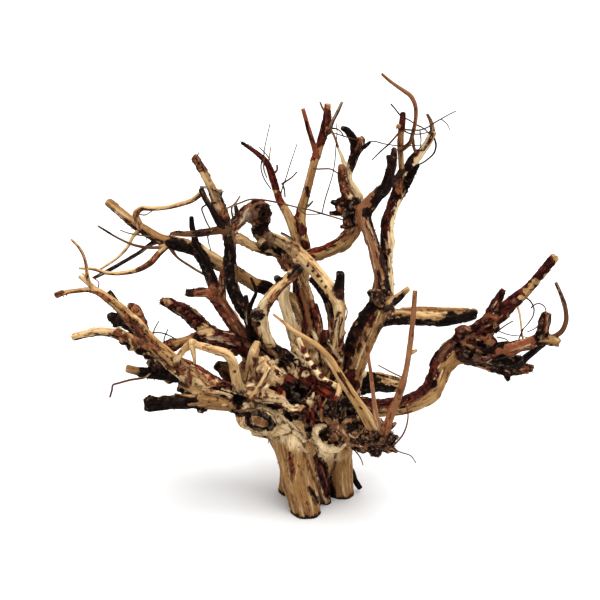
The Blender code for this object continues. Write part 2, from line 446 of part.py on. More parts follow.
def combine(solid, collection, operation):
    boolean = solid.modifiers.new(operation.lower(), "BOOLEAN")
    boolean.operation = operation
    boolean.operand_type = "COLLECTION"
    boolean.collection = collection
    boolean.solver = "MANIFOLD"


def wood_material():
    material = bpy.data.materials.new("wood")
    material.use_nodes = True
    surface = material.node_tree.nodes["Principled BSDF"]
    surface.inputs["Base Color"].default_value = WOOD_COLOUR
    surface.inputs["Roughness"].default_value = WOOD_ROUGHNESS
    surface.inputs["Metallic"].default_value = 0
    return material


def main():
    empty_the_scene()
    finished = new_collection("tree-shaped driftwood")
    pieces = new_collection("limbs to fuse")
    cutters = new_collection("cutters")

    for group in (TRUNK, LEFT_SIDE, CENTRE, RIGHT_SIDE, FRONT_BURL, CROWN, FAR_SIDE):
        for name, route in group.items():
            make_limb(name, route, pieces)
    for name, spot in LUMPS.items():
        make_ball(name, spot, pieces)
    for name, spot in HOLLOWS.items():
        make_ball(name, spot, cutters)
    for name, route in GROOVES.items():
        make_limb(name, route, cutters)
    make_foot_saw(cutters)
    for cutter in cutters.objects:
        cutter.hide_render = True
        cutter.display_type = "WIRE"

    core = pieces.objects["core"]
    pieces.objects.unlink(core)
    finished.objects.link(core)
    combine(core, pieces, "UNION")
    wood = bake(core, NAME, finished)
    for piece in list(pieces.objects):
        bpy.data.objects.remove(piece)
    bpy.data.collections.remove(pieces)

    combine(wood, cutters, "DIFFERENCE")
    thinning = wood.modifiers.new("fewer faces", "DECIMATE")
    thinning.ratio = SHARE_OF_FACES
    thinning.use_collapse_triangulate = True
    wood.data.materials.clear()
    wood.data.materials.append(wood_material())


main()
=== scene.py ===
"""Tree-shaped aquarium driftwood: one grown piece of root wood that stands on its sawn foot.

The limbs are laid out as they are seen from the front, on an imagined sheet 600 mm square that faces the
viewer and passes through the middle of the foot. Every place is in millimetres as (across, down) on that
sheet, from its upper left corner, with the depth behind the foot's middle, which is less than zero for what
comes towards the viewer. A line of sight from the viewer through the sheet to that depth gives the place.
"""

import math
import random
from contextlib import contextmanager

import bpy
import numpy as np
from bpy.props import FloatProperty, FloatVectorProperty, IntProperty, PointerProperty
from mathutils import Matrix, Vector, noise


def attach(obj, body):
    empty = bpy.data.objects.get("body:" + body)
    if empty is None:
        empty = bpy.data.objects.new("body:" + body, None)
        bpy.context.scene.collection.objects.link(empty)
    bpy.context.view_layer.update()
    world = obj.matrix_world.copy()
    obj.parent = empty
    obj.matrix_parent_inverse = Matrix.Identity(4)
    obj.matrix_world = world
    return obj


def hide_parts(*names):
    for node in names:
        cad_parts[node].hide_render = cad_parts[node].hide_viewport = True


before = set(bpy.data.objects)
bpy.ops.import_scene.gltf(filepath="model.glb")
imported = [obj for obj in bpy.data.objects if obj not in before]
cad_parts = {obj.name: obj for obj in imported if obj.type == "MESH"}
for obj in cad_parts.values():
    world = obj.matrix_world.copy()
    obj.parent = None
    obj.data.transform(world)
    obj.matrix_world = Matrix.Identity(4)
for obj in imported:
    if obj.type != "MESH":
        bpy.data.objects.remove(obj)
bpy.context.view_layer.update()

bl_info = {
    "name": "Tree-shaped driftwood",
    "version": (1, 0, 0),
    "blender": (4, 5, 0),
    "location": "3D View > Sidebar > Driftwood",
    "description": "Grows a branching piece of root wood with bark, grain and rootlets",
    "category": "Add Mesh",
}

NODE = "driftwood"
BODY = "root"
MILLIMETRE = 0.001

# How the sheet stands: the viewer looks down on the wood by this angle, at the middle of the sheet.
VIEW_SLOPE = math.radians(18)
VIEW_DISTANCE = 1200
SHEET_SIZE = 600
SHEET_MIDDLE = (300, 300)
FOOT_MIDDLE = (316, 500)

# Limbs by name, each a route of (across, down, back, thickness) from where it grows out to its tip.
TRUNK = {
    "core": (
        (314, 505, 16, 38), (312, 475, 13, 41), (311, 446, 6, 58), (304, 415, 2, 70), (299, 392, 3, 62),
        (300, 372, 6, 48), (303, 354, 12, 34)),
    "front lobe": (
        (292, 420, -4, 46), (294, 440, -13, 43), (296, 460, -18, 37), (298, 480, -22, 32),
        (304, 500, -25, 29), (308, 534, -26, 27)),
    "front left lobe": (
        (286, 428, -2, 30), (293, 450, -5, 32), (299, 470, -8, 32), (303, 490, -10, 31),
        (304, 530, -10, 31)),
    "left strand": (
        (274, 424, 10, 24), (284, 445, 12, 22), (289.5, 465, 15, 21), (291, 480, 18, 22),
        (290, 500, 21, 23.5), (290, 530, 22, 24)),
    "middle strand": (
        (307, 444, -26, 14), (313, 460, -25, 13.5), (318.5, 477, -20, 12.5), (323, 490, -12, 11.5),
        (326, 502, -5, 10.5), (327, 534, -5, 10.5)),
    "right lobe": (
        (330, 416, 3, 18), (334, 427, 4, 26), (337, 438, 4, 32), (339.5, 458, 10, 26), (340.5, 480, 13, 24),
        (342, 500, 14, 25), (342, 530, 14, 25)),
    "back lobe": (
        (312, 384, 14, 22), (315, 404, 19, 36), (318, 425, 22, 48), (319, 455, 26, 42), (320, 485, 26, 40),
        (320, 540, 26, 38)),
    "left shoulder": (
        (312, 428, -4, 44), (292, 420, -8, 46), (275, 413, -12, 46), (258, 410, -16, 42),
        (244, 402, -18, 32)),
    "left crown": ((296, 404, 2, 58), (276, 392, 0, 50), (258, 376, -2, 38), (248, 360, 0, 22)),
    "right shoulder": ((300, 420, 0, 44), (320, 412, 2, 44), (338, 402, 3, 38), (348, 388, 2, 30)),
    "black twig": ((345, 460, 16, 7), (351, 471, 17, 6), (356, 482, 17, 5), (360, 488, 17, 5)),
}

LEFT_SIDE = {
    "left arm": (
        (262, 409, -12, 36), (245, 401, -14, 29), (226, 394.5, -18, 24), (209, 386, -22, 24),
        (194, 376, -26, 23), (180, 367, -30, 18.5), (168, 359, -35, 15)),
    "reaching limb": (
        (177, 365, -32, 16), (166, 355, -37, 14.5), (157, 347, -40, 14), (147, 337, -44, 13.5),
        (137, 325, -48, 13.5), (127, 315, -52, 11), (118, 306, -56, 9), (108, 298, -60, 8),
        (99, 292, -63, 8), (88, 289.5, -66, 6), (75, 291, -70, 5.2), (63, 293, -72, 5.4),
        (55, 296, -73, 5.8)),
    "reaching twig": (
        (95, 291, -64, 6), (90, 284, -66, 4.6), (87, 274, -67, 4), (86, 264, -68, 3.5), (83, 254, -70, 3.2),
        (78, 246, -72, 2.8), (71, 239, -74, 2.2)),
    "reaching stub": ((95, 289, -63, 5.5), (86, 281, -59, 4.8), (79, 276, -57, 3.2)),
    "under arm bark": (
        (250, 404, -18, 30), (228, 397, -24, 24), (206, 392, -28, 20), (190, 388, -30, 15),
        (178, 386, -30, 9)),
    "lower left limb": (
        (178, 366, -31, 16), (166, 359, -28, 14.5), (154, 352, -26, 14), (142, 346, -24, 13),
        (130, 340, -22, 11), (120, 335, -20, 9.6), (110, 332, -19, 8.6), (100, 331, -18, 8.2),
        (88, 333.5, -17, 7.6), (72, 337, -15, 8)),
    "black left stubs": (
        (150, 352, -22, 11), (141, 338, -11, 12), (132, 326, -4, 12.5), (123, 321, 1, 12),
        (115, 319, 4, 9.5), (108, 317, 6, 6)),
    "black left twig": ((127, 324, -2, 9), (121, 312, 3, 6.6), (115, 300, 6, 5.4), (109, 291, 8, 4)),
    "brown left knob": (
        (156, 354, -22, 12), (149, 342, -2, 12.5), (143, 329, 16, 12.5), (138, 317, 30, 12.5),
        (133, 307, 42, 7.5)),
    "middle left stub": (
        (210, 385, -16, 17), (194, 378, -8, 15), (180, 375, -1, 14), (168, 374, 4, 13), (155, 373, 9, 11.5),
        (143, 372, 13, 9.5), (134, 370, 16, 8.4), (126, 368, 18, 7.4)),
    "dark left stub": (
        (264, 410, -15, 28), (247, 405, -22, 20), (230, 402, -27, 18), (214, 401, -32, 17),
        (200, 400, -36, 15.6), (188, 401, -40, 14.6), (175, 402, -44, 13.6), (162, 403, -48, 13.2),
        (145, 405, -53, 13.6)),
    "arched loop": (
        (246, 401, -14, 15), (238, 385, -34, 11.4), (234.5, 371, -46, 10), (232, 360, -52, 9.6),
        (224, 353, -56, 9), (212, 349.5, -58, 8.2), (200, 346, -57, 8), (191, 344, -53, 8),
        (184, 350, -48, 7.2), (178, 358, -42, 6.6), (173, 364, -36, 7)),
    "loop spur": ((192, 345, -55, 7), (193.5, 354, -57, 4.8), (195, 364, -59, 3)),
    "red knotty limb": (
        (268, 366, -4, 26), (256, 354, -6, 19), (243, 346, -8, 17), (228, 340, -10, 17.5),
        (213, 338, -12, 17), (202, 337, -10, 13.5), (192, 339, -8, 10), (182, 342, -6, 9.4),
        (173, 345, -5, 12), (165, 349, -4, 12)),
    "dark rough stub": (
        (240, 348, 0, 16), (224, 340, 6, 15), (212, 333, 11, 14), (203, 327, 16, 13), (195, 320, 20, 14.4),
        (186, 312, 25, 13.6), (177, 307, 29, 11.6), (169, 303, 33, 9.6), (161, 301, 36, 7)),
    "red fork": (
        (270, 372, 8, 26), (256, 358, 8, 19), (245, 343, 9, 15), (236, 328, 10, 13.5), (227, 314, 13, 12.6),
        (219, 302, 17, 13.4), (213, 290, 20, 13)),
    "red fork left": ((217, 298, 17, 12), (206, 293, 14, 9.8), (195, 293, 11, 8.6), (186, 293, 8, 7)),
    "red fork stem": (
        (215, 295, 18, 12), (212, 282, 25, 10.6), (208, 271, 31, 10.6), (204, 261, 38, 10.6),
        (199, 253, 44, 11), (196, 247, 49, 12)),
    "red strand": ((222, 302, 14, 9), (222, 288, 13, 8), (222, 276, 12, 7.4), (226, 264, 10, 6.4)),
    "upper left limb": (
        (304, 318, 36, 15), (296, 303, 40, 14.5), (283, 295, 42, 13), (268, 289, 44, 12.6),
        (255, 284, 46, 13), (243, 277, 48, 13), (231, 270, 50, 13.6), (218, 263, 50, 14),
        (206, 256, 49, 14.4), (196, 249, 50, 15), (184, 246, 52, 14), (172, 243, 55, 12.4),
        (160, 239, 58, 10.6), (148, 232, 61, 10.6), (137, 225, 64, 10), (127, 217.5, 68, 9.2),
        (117, 209, 72, 8.8), (107, 201, 76, 8.2)),
    "cross twig": (
        (141, 229, 62, 8.5), (138, 221, 59, 7.2), (136, 213.5, 55, 6.8), (141, 208.5, 51, 5.4),
        (152, 208.5, 47, 4.6), (168, 207.2, 40, 4.4), (182, 203.5, 32, 4.6), (193, 199.5, 24, 4.8),
        (202, 192, 16, 5.4)),
    "upper rootlet": (
        (170, 243, 54, 6), (160, 247, 51, 4), (148, 247.5, 47, 3.2), (134, 245, 42, 2.8),
        (120, 239, 36, 2.4), (98, 226, 26, 1.8)),
    "hanging rootlet": (
        (168, 244, 54, 7), (160, 252, 49, 5.6), (150, 263, 41, 5.4), (137, 270, 34, 4.8),
        (122, 273, 26, 4.2), (108, 273, 18, 3.6), (93, 269, 10, 3), (79, 268, 4, 2.4)),
    "dark rootlet": (
        (162, 240, 58, 6), (152, 243.5, 61, 4.2), (140, 252, 66, 3.8), (127, 260, 70, 3.8),
        (113, 268, 73, 3.6), (94, 278, 78, 3.2)),
    "pale rootlet": (
        (141, 229, 62, 5.6), (134, 235, 57, 3.8), (128, 246, 52, 3.2), (118, 257, 46, 2.8),
        (99, 270, 35, 2.2)),
    "lower rootlet": (
        (168, 244, 55, 6), (176, 256, 50, 3), (190, 266, 42, 2.6), (205, 275, 34, 2.4),
        (216, 281, 24, 3.4)),
}

CENTRE = {
    "dark upright stem": (
        (303, 372, -4, 24), (291, 361, -6, 16), (279, 354, -8, 13.6), (268, 344, -9, 13),
        (258, 332, -9, 12.6), (250, 318, -8, 12.6), (242, 307, -6, 12.6), (236, 296, -3, 12.4),
        (232, 284, 0, 11.6), (231, 272, 4, 11.6), (230, 260, 8, 12), (230, 249, 10, 11.4),
        (228, 237, 12, 11), (225, 225, 14, 12), (221, 212, 15, 12.6), (217, 200, 16, 12),
        (212, 189, 14, 9.8), (207, 179, 13, 8.6), (201, 168, 12, 8.6), (194, 156, 10, 8.8)),
    "leaning stick": (
        (224, 230, 11, 8), (217, 219, 5, 6), (211, 208, 3, 5.4), (206, 200, 5, 5.2), (201, 189, 10, 5)),
    "side twig": (
        (227, 229, 12, 10), (213, 231, 5, 8.2), (200, 233, -1, 7.2), (188, 234, -8, 6.2),
        (170, 234, -17, 5.2)),
    "black upright": ((197, 252, 50, 10), (194.5, 237, 48, 5.6), (192, 226, 46, 5), (191.5, 217, 44, 4)),
    "thorn twig": (
        (255, 346, -4, 9), (250, 334, -11, 6.6), (248, 320, -16, 5.8), (247, 308, -20, 5.2),
        (246, 296, -23, 4)),
    "thorn fork": ((248, 312, -19, 5), (253, 300, -22, 3.8), (256, 293, -24, 3.2), (251, 278, -27, 2.4)),
    "gnarled arch": (
        (225, 235, 13, 11), (231, 228, 20, 13), (239, 221, 26, 12.4), (247, 212, 31, 13),
        (257, 208, 36, 17), (263.5, 216, 40, 15.4), (259, 227, 43, 15), (263, 235, 45, 15),
        (276, 243, 46, 12)),
    "arch stub": ((239, 221, 26, 8), (237, 213, 25, 5), (235.5, 206, 24, 3.4)),
    "pale wedge": (
        (228, 241, 12, 10), (237, 238.5, 20, 10), (247, 243, 29, 9.6), (257, 248, 37, 9.6),
        (266, 250, 43, 11), (276, 251, 46, 11.4), (284, 256, 46, 11)),
    "cross knots": ((276, 243, 45, 12), (283, 250, 46, 13.4), (284, 259, 46, 13), (290, 269, 45, 12)),
    "long diagonal": (
        (336, 384, -2, 22), (337, 366, -12, 14), (338, 348, -18, 11.4), (339, 331, -20, 11.2),
        (340, 316, -21, 12), (339, 304, -20, 13.4), (333, 293, -16, 14.2), (324, 281, -9, 13.8),
        (314, 269, 1, 13.6), (303, 258, 13, 13.4), (292, 248, 25, 12.8), (281, 241, 35, 11.4),
        (269, 236, 43, 9)),
    "red bridge": ((322, 388, 6, 26), (324, 364, 9, 21), (325, 346, 9, 15), (326, 331, 7, 8)),
    "red edge strand": ((322, 356, 14, 12), (321, 338, 20, 8.6), (318, 322, 26, 7.4), (313, 304, 34, 7)),
    "gap strand": ((342, 390, -4, 24), (347, 366, -6, 15), (347, 346, -4, 9)),
    "dark strand": (
        (336, 352, -12, 9), (333, 331, -12, 9), (331.5, 315, -10, 8.8), (328, 301, -6, 8.4),
        (320, 288, 1, 7.6), (311, 278, 8, 7)),
    "diagonal stub": (
        (339, 306, -19, 10.4), (339.5, 294, -21, 9.2), (340, 283, -23, 8.6), (340, 272, -25, 8)),
    "cross bar": (
        (270, 346, -8, 14), (264.5, 332, -18, 12), (262.5, 320, -23, 12.6), (263.5, 309, -26, 12.6),
        (269, 299, -28, 11.6), (277, 289, -29, 11.4), (286, 280.5, -28, 11), (301, 266.5, -22, 9.6)),
    "cut knob": ((262, 314, -25, 10), (254.5, 315, -33, 11.6)),
    "pale rear stem": (
        (302, 366, 12, 24), (300, 350, 20, 15), (295, 337, 23, 12.6), (290, 323, 25, 11.4),
        (286, 309, 27, 11.4), (283.5, 297, 29, 11.4), (287, 284, 31, 9.6)),
    "red stem": (
        (312, 374, 12, 30), (312, 354, 22, 22), (311.5, 336, 29, 19), (310, 319, 34, 17),
        (306.5, 303, 38, 15.4), (303, 289, 41, 14.4), (298, 276, 43, 13.6), (292, 264, 45, 12.4),
        (286, 253, 46, 11)),
    "tall stem": (
        (301, 284, 43, 14), (304, 269, 47, 12.6), (306.5, 256, 51, 11.6), (305, 244, 53, 10.2),
        (302, 232, 55, 9.6), (301, 220, 57, 9.6), (302, 208, 59, 9.2), (305, 197, 60, 9), (308, 186, 61, 9),
        (311, 174, 62, 8.6), (314, 163, 63, 8.6), (318, 152, 64, 8.2), (321, 142, 65, 8),
        (324, 132, 66, 8.6), (327, 118, 68, 8), (328, 103, 69, 6.4)),
    "tall stem prong": ((317.5, 158, 63, 7), (313, 143, 60, 5.2), (309, 130, 57, 4.8), (303, 109, 52, 4)),
    "tall stem knob": ((324, 134, 66, 7), (330, 129, 62, 8)),
    "tall stem twig": ((329, 131, 63, 6), (333, 121, 61, 4), (337, 113, 59, 3.4), (342, 102, 57, 2.9)),
    "forked stem": (
        (298, 264, 45, 14), (299.5, 248, 53, 12.6), (296, 233, 58, 12), (290.5, 220, 61, 10.6),
        (286, 211, 64, 9), (281, 202, 67, 7.6), (277, 193, 69, 7.2), (274, 184, 71, 7.2),
        (271, 173, 74, 6.8), (267, 163, 77, 6.2), (259, 155, 80, 5), (241, 142, 86, 3.8)),
    "arched branch": (
        (298, 262, 42, 13), (308, 257, 36, 12), (319, 253.5, 32, 12.8), (330, 249.5, 28, 14),
        (341, 244, 24, 15), (350, 236, 20, 15.6), (355.5, 224, 17, 15.6), (357, 210, 15, 16)),
    "burl spike upper": ((348, 206, 16, 9), (340, 204, 13, 7), (331, 201, 10, 4.4)),
    "burl spike middle": ((350, 213, 16, 8), (342, 213, 13, 6.2), (330, 213, 9, 3.6)),
    "burl spike lower": ((354, 222, 17, 8), (348, 226, 14, 5.4), (341, 227, 11, 3.4)),
    "burl prong": ((349, 206, 15, 11), (345, 190, 13, 9), (342, 178, 11, 8), (341, 165, 9, 6.4)),
    "pale prong": (
        (357, 208, 16, 11), (359.5, 199, 18, 9), (355, 190.5, 19, 8.6), (349.5, 182, 18, 8.2),
        (346, 172, 17, 7), (343.5, 162, 16, 5.2), (338, 147, 13, 2.8)),
    "black prong": (
        (348, 180, 17, 8), (349, 172, 18, 7.6), (352, 163, 18, 8.6), (355, 153, 16, 9), (354.5, 144, 13, 8),
        (350.5, 135, 10, 7), (346, 129.5, 8, 5.8), (341, 128, 6, 4.4)),
    "prong knob": ((354, 156, 16, 8), (358, 149, 13, 8.8), (361, 143, 11, 8.2), (361, 137, 9, 6)),
    "prong spike": ((359, 147.5, 12, 6), (364.5, 146.5, 9, 4.4), (370, 142, 6, 2.6)),
}

RIGHT_SIDE = {
    "right pillar": (
        (336, 410, -2, 38), (344, 390, -4, 30), (350, 372, -5, 27), (355.5, 356, -5, 27),
        (361, 340, -4, 27), (367, 326, -3, 26), (375, 314, -2, 24), (384, 301, -1, 19)),
    "pillar knot": ((381, 302, -6, 13), (373, 293, -11, 10.6)),
    "pillar stub": (
        (382, 308, -5, 13), (390, 303, -10, 9.6), (396.5, 298.5, -13, 8.2), (403, 293, -17, 6.6),
        (409, 287, -20, 4.4)),
    "upright fork": (
        (385, 312, -2, 19), (384, 299, -1, 15.6), (382, 286, 0, 14.6), (380.5, 273, 1, 14),
        (377, 260, 2, 12.8), (373.5, 247, 3, 12.2), (369, 234, 4, 12.2), (365, 223, 5, 12.6),
        (364, 213, 6, 14.4), (369, 205, 5, 14.4), (376, 196.5, 2, 13), (385, 187, -1, 11.6),
        (388.5, 177.5, -3, 9), (391.5, 167, -6, 9), (394.5, 148, -11, 5.4)),
    "fork stub": ((391.5, 166, -6, 7), (388, 156, -9, 4)),
    "far right limb": (
        (385, 312, 2, 17), (387, 298, 6, 12.6), (388, 284, 10, 10.8), (387.5, 270, 14, 10.4),
        (387, 256, 16, 12.6), (388, 243, 18, 13.4), (387.5, 231, 20, 12.4), (389, 219, 22, 11.6),
        (392.5, 208, 24, 11.8), (397, 197, 27, 12.6), (401, 187, 30, 12.8), (404.5, 178, 32, 12),
        (409, 169, 34, 9.6), (415.5, 160.5, 36, 8.2), (422, 152, 38, 7.6), (428, 143, 40, 7.6),
        (434, 131, 42, 8)),
    "far right twig": ((433, 134, 41, 6.4), (431, 122, 42, 4), (427, 114, 43, 2.8)),
    "black side stub": (
        (402, 192, 29, 10), (406.5, 183, 24, 8.6), (411, 175, 19, 7.4), (418, 164.5, 12, 3.6)),
    "black side limb": (
        (402, 187, 30, 10), (404.5, 175, 34, 8), (408, 166, 37, 7.4), (412, 159, 39, 7),
        (420, 149.5, 43, 4.6)),
    "left riser": (
        (398, 194, 27, 10), (400.5, 182, 24, 7), (401.5, 171, 21, 5.8), (401, 160, 18, 5.6),
        (400.5, 148, 15, 6), (401, 136, 11, 5.8), (402, 124, 7, 6.2), (403, 113, 4, 5)),
    "riser bridge": ((385, 184, 0, 8), (391, 181, 7, 5.6), (397, 177, 14, 5.4), (402, 170, 20, 6)),
    "top twig": (
        (400.5, 150, 15, 5.6), (405, 147.5, 14, 4.8), (409.5, 143.5, 13, 4.2), (412.5, 135, 12, 3.8),
        (415, 124, 10, 3.8), (416, 114, 8, 4), (415, 104, 5, 4.2), (410.5, 95.5, 2, 4.2),
        (403.5, 90.5, 0, 3.8), (390, 81, -6, 3.2), (382, 74, -9, 2.8)),
    "level limb": (
        (364, 326, -2, 24), (377, 319, 4, 19), (390, 316.5, 11, 17.6), (403, 317, 17, 16.4),
        (418, 318, 24, 15), (433, 318.5, 31, 14.6), (448, 318, 37, 14), (460, 316, 42, 12.4),
        (470, 313, 46, 9.4), (477, 311, 49, 5.8)),
    "level limb tip": ((458, 317.5, 41, 10.4), (468, 318, 44, 7), (477, 317, 46, 3.8)),
    "rear stub": (
        (333, 396, 12, 30), (350, 386, 20, 25), (365, 382, 26, 24), (378, 382, 32, 20.4),
        (390, 384, 37, 16.6), (402, 385, 42, 13)),
    "right arm": (
        (316, 418, -4, 34), (336, 412, -8, 24), (354, 408.5, -10, 19), (370, 408, -11, 17.6),
        (387, 408, -12, 17.6), (404, 405, -12, 17.8), (419, 399.5, -11, 18.8), (431, 390.5, -9, 20.6),
        (437.5, 378.5, -7, 21.6), (442, 366, -5, 22.8), (450, 355.5, -4, 25), (461, 348.5, -4, 26.6),
        (473, 340.5, -5, 25), (484, 329.5, -7, 21), (495, 318, -10, 17), (506, 308, -12, 13.6),
        (517, 299, -15, 12), (527, 290, -17, 9.8), (537, 279, -20, 9), (548, 266, -23, 9),
        (556, 256, -26, 8.8)),
    "arm spur": ((488, 322, -10, 15), (492, 311.5, -16, 11), (496, 303, -20, 9.4), (504, 290, -27, 4.6)),
    "lower prong": (
        (463, 350, -8, 24), (480, 353, -15, 18.6), (495, 351.5, -21, 15.6), (510, 348.5, -26, 13.6),
        (522, 345, -30, 12.2), (534, 341, -33, 12), (546, 338.5, -37, 11), (560, 343, -43, 9)),
    "rear prong": (
        (461, 353, -2, 22), (474, 357, 1, 18.4), (486, 361, 4, 17.4), (498, 364.5, 7, 16),
        (510, 368, 9, 14.6), (521, 368.5, 12, 12), (533, 368, 15, 7)),
    "prong web": ((486, 357, -8, 18), (500, 358, -11, 16), (512, 360.5, -10, 12), (523, 358, -14, 6)),
    "rear prong spike": ((500, 365, 7, 11), (506, 372.5, 8, 8.2), (508, 381, 9, 3.6)),
    "prong bridge": (
        (513, 368, 8, 9), (520, 363, 3, 7.4), (527, 357, -5, 7), (535, 350.5, -16, 6.2),
        (543, 344, -28, 6)),
    "raised knob": ((541, 341, -35, 12), (542, 332, -36, 12.6), (544, 322, -38, 10.4), (546, 312, -39, 5.6)),
    "knob spike": ((544, 328, -37, 7), (548, 323, -40, 5.4), (550, 314, -42, 3.6)),
    "end twig": (
        (547, 338.5, -37, 7), (554, 336.5, -39, 5.4), (561, 332, -41, 5), (565.5, 323, -43, 4.8),
        (565.5, 309, -46, 4.6), (561.5, 296, -49, 4.2), (556, 283, -52, 3.4)),
}

FRONT_BURL = {
    "burl neck": (
        (316, 402, -16, 40), (332, 411, -33, 34), (346, 419, -48, 36), (359, 427, -62, 38),
        (372, 434, -75, 32), (384, 440, -86, 21), (391, 443, -92, 11)),
    "long stick": (
        (379, 431, -88, 8.4), (368, 414, -90, 6.6), (357, 399, -93, 6), (347, 384, -95, 6),
        (338, 370, -97, 5.8), (329, 357, -98, 5.4), (318, 346, -99, 4.8), (306, 338, -99, 4.4),
        (293, 330, -99, 4), (283, 322, -99, 3.4), (273, 314, -98, 2.6)),
    "short stick": (
        (372, 430, -84, 8.4), (362, 413, -84, 7), (351, 396, -83, 6.4), (342, 383, -81, 6.2),
        (335, 371, -79, 5.4), (329, 362, -77, 4)),
    "tall twig": (
        (384, 436, -91, 9.4), (391, 414, -96, 8.4), (397, 400, -99, 7.4), (402, 386, -102, 6.8),
        (406, 370, -105, 6.2), (409, 353, -107, 5.8), (411, 336, -109, 5.4), (413, 318, -110, 5.2),
        (415, 291, -110, 4.8)),
    "tall twig bud": ((410.5, 353, -107, 4.6), (417, 350, -108, 2.8)),
    "thin stick": (
        (378, 430, -89, 6.6), (375, 410, -89, 5), (373, 392, -88, 4.4), (371, 375, -86, 3.8),
        (367, 346, -80, 2.9)),
    "burl spike right": ((385, 430, -91, 8), (391, 426.5, -93, 5.4), (396, 423, -95, 2.8)),
    "burl spike low": ((388, 447, -90, 8), (393, 449.5, -91, 5), (397.5, 452, -92, 3)),
}

CROWN = {
    "eye stub": ((276, 410, -16, 32), (266, 417, -34, 26), (259, 421.5, -50, 21)),
    "pale ledge": (
        (246, 392, -24, 15), (262, 395, -36, 13.6), (276, 399, -41, 12.6), (290, 405, -43, 11.6),
        (304, 411, -38, 10)),
    "striped stick": ((252, 398, -36, 7), (260, 386, -44, 5.2), (270, 367, -46, 4.2)),
    "pale swirl": ((292, 394, -20, 26), (280, 382, -27, 22), (269, 370, -27, 17), (261, 358, -22, 13)),
    "cream strand": (
        (298, 338, -10, 5), (305, 354, -17, 5.2), (313, 367, -23, 5.6), (322, 378, -26, 6),
        (337, 387, -24, 7)),
    "pale strip": ((250, 380, -20, 14), (252, 364, -25, 12.4), (254, 352, -25, 10.4), (258, 341, -20, 7)),
    "brown stub": ((248, 396, 0, 22), (236, 382, 7, 17), (227, 371, 12, 15), (216, 364, 16, 8)),
    "collar": ((326, 428, -8, 36), (331, 433, -28, 38), (333, 436, -42, 34)),
    "thin rim": ((340, 384, -26, 6), (338, 395, -34, 5.4), (331, 405, -40, 5.4), (322, 416, -40, 7)),
}

# Limbs on the far side, which the other limbs hide from the front.
FAR_SIDE = {
    "far middle limb": (
        (304, 396, 24, 40), (304, 368, 50, 27), (302, 340, 76, 20), (304, 314, 96, 15), (300, 290, 108, 12),
        (296, 266, 112, 7)),
    "far middle fork": ((304, 318, 93, 13), (309, 300, 112, 10), (306, 284, 128, 6)),
    "far right root": (
        (332, 404, 22, 38), (346, 380, 48, 26), (359, 354, 72, 19), (369, 326, 90, 14), (376, 296, 104, 11),
        (384, 262, 112, 6)),
    "far right fork": ((362, 346, 77, 15), (364, 328, 98, 11), (372, 312, 116, 7)),
    "far left root": (
        (286, 406, 20, 38), (264, 380, 46, 26), (250, 354, 68, 18), (238, 330, 84, 14), (227, 310, 96, 11),
        (215, 288, 102, 6)),
    "far left fork": ((252, 358, 65, 15), (236, 344, 86, 11), (226, 338, 100, 7)),
    "far low root": ((334, 412, 22, 32), (352, 408, 46, 22), (368, 405, 62, 15), (384, 404, 70, 8)),
}

# Swellings by name: (across, down, back, diameter).
LUMPS = {
    "overhang": (252, 413, -22, 34), "crown brow": (262, 372, -18, 30), "burl upper": (348, 410, -58, 24),
    "burl left": (346, 430, -60, 27), "burl middle": (362, 441, -72, 24), "burl right": (379, 437, -88, 18),
    "burl end": (388, 436, -90, 12), "burl corner": (387, 447, -88, 13), "burl bottom": (374, 449, -80, 14),
    "burl top": (366, 417, -72, 20), "branch burl": (351, 208, 14, 22),
    "branch burl left": (343, 207, 13, 14), "branch burl low": (351, 219, 15, 17),
    "branch burl right": (360, 218, 12, 16), "arch knot": (265, 211, 36, 11),
    "wedge knot": (263, 245, 39, 11), "loop knot": (192, 343, -54, 9.6), "stub knot": (202, 408, -37, 10),
    "stub end knot": (150, 401, -51, 11), "middle stub knot": (169, 379, 3, 10),
    "middle stub hump": (158, 366, 8, 13), "rough stub knot": (197, 324, 15, 12),
    "left flake knot": (146, 352, -24, 11), "pillar crown knot": (387, 297, -4, 14),
    "arm knot": (460, 336, -8, 13), "arm rise": (490, 343, -14, 14), "prong knuckle": (553, 340.5, -40, 12),
    "diagonal knot": (337, 292, -18, 13),
}

# Hollows and knot holes cut into the wood by name: (across, down, back, diameter).
HOLLOWS = {
    "eye": (260, 422.5, -54, 16), "eye left corner": (252, 419.5, -50, 13),
    "eye right corner": (267, 425, -48, 13), "collar hole": (331, 438, -44, 20),
    "shoulder hole": (239, 399, -33, 13), "crown hollow": (296, 399, -43, 22),
    "limb end hole": (165, 350, -12, 6.5),
}

# Long grooves cut into the trunk, as routes of (across, down, back, thickness).
GROOVES = {
    "trunk groove": (
        (319, 448, -18, 8), (323, 465, -13, 9), (327.5, 482, -7, 9), (332, 500, -1, 8), (333, 536, 1, 8)),
    "foot slot": ((309, 484, -38, 5), (314, 494, -33, 6), (320, 506, -26, 6), (323, 522, -22, 6)),
}

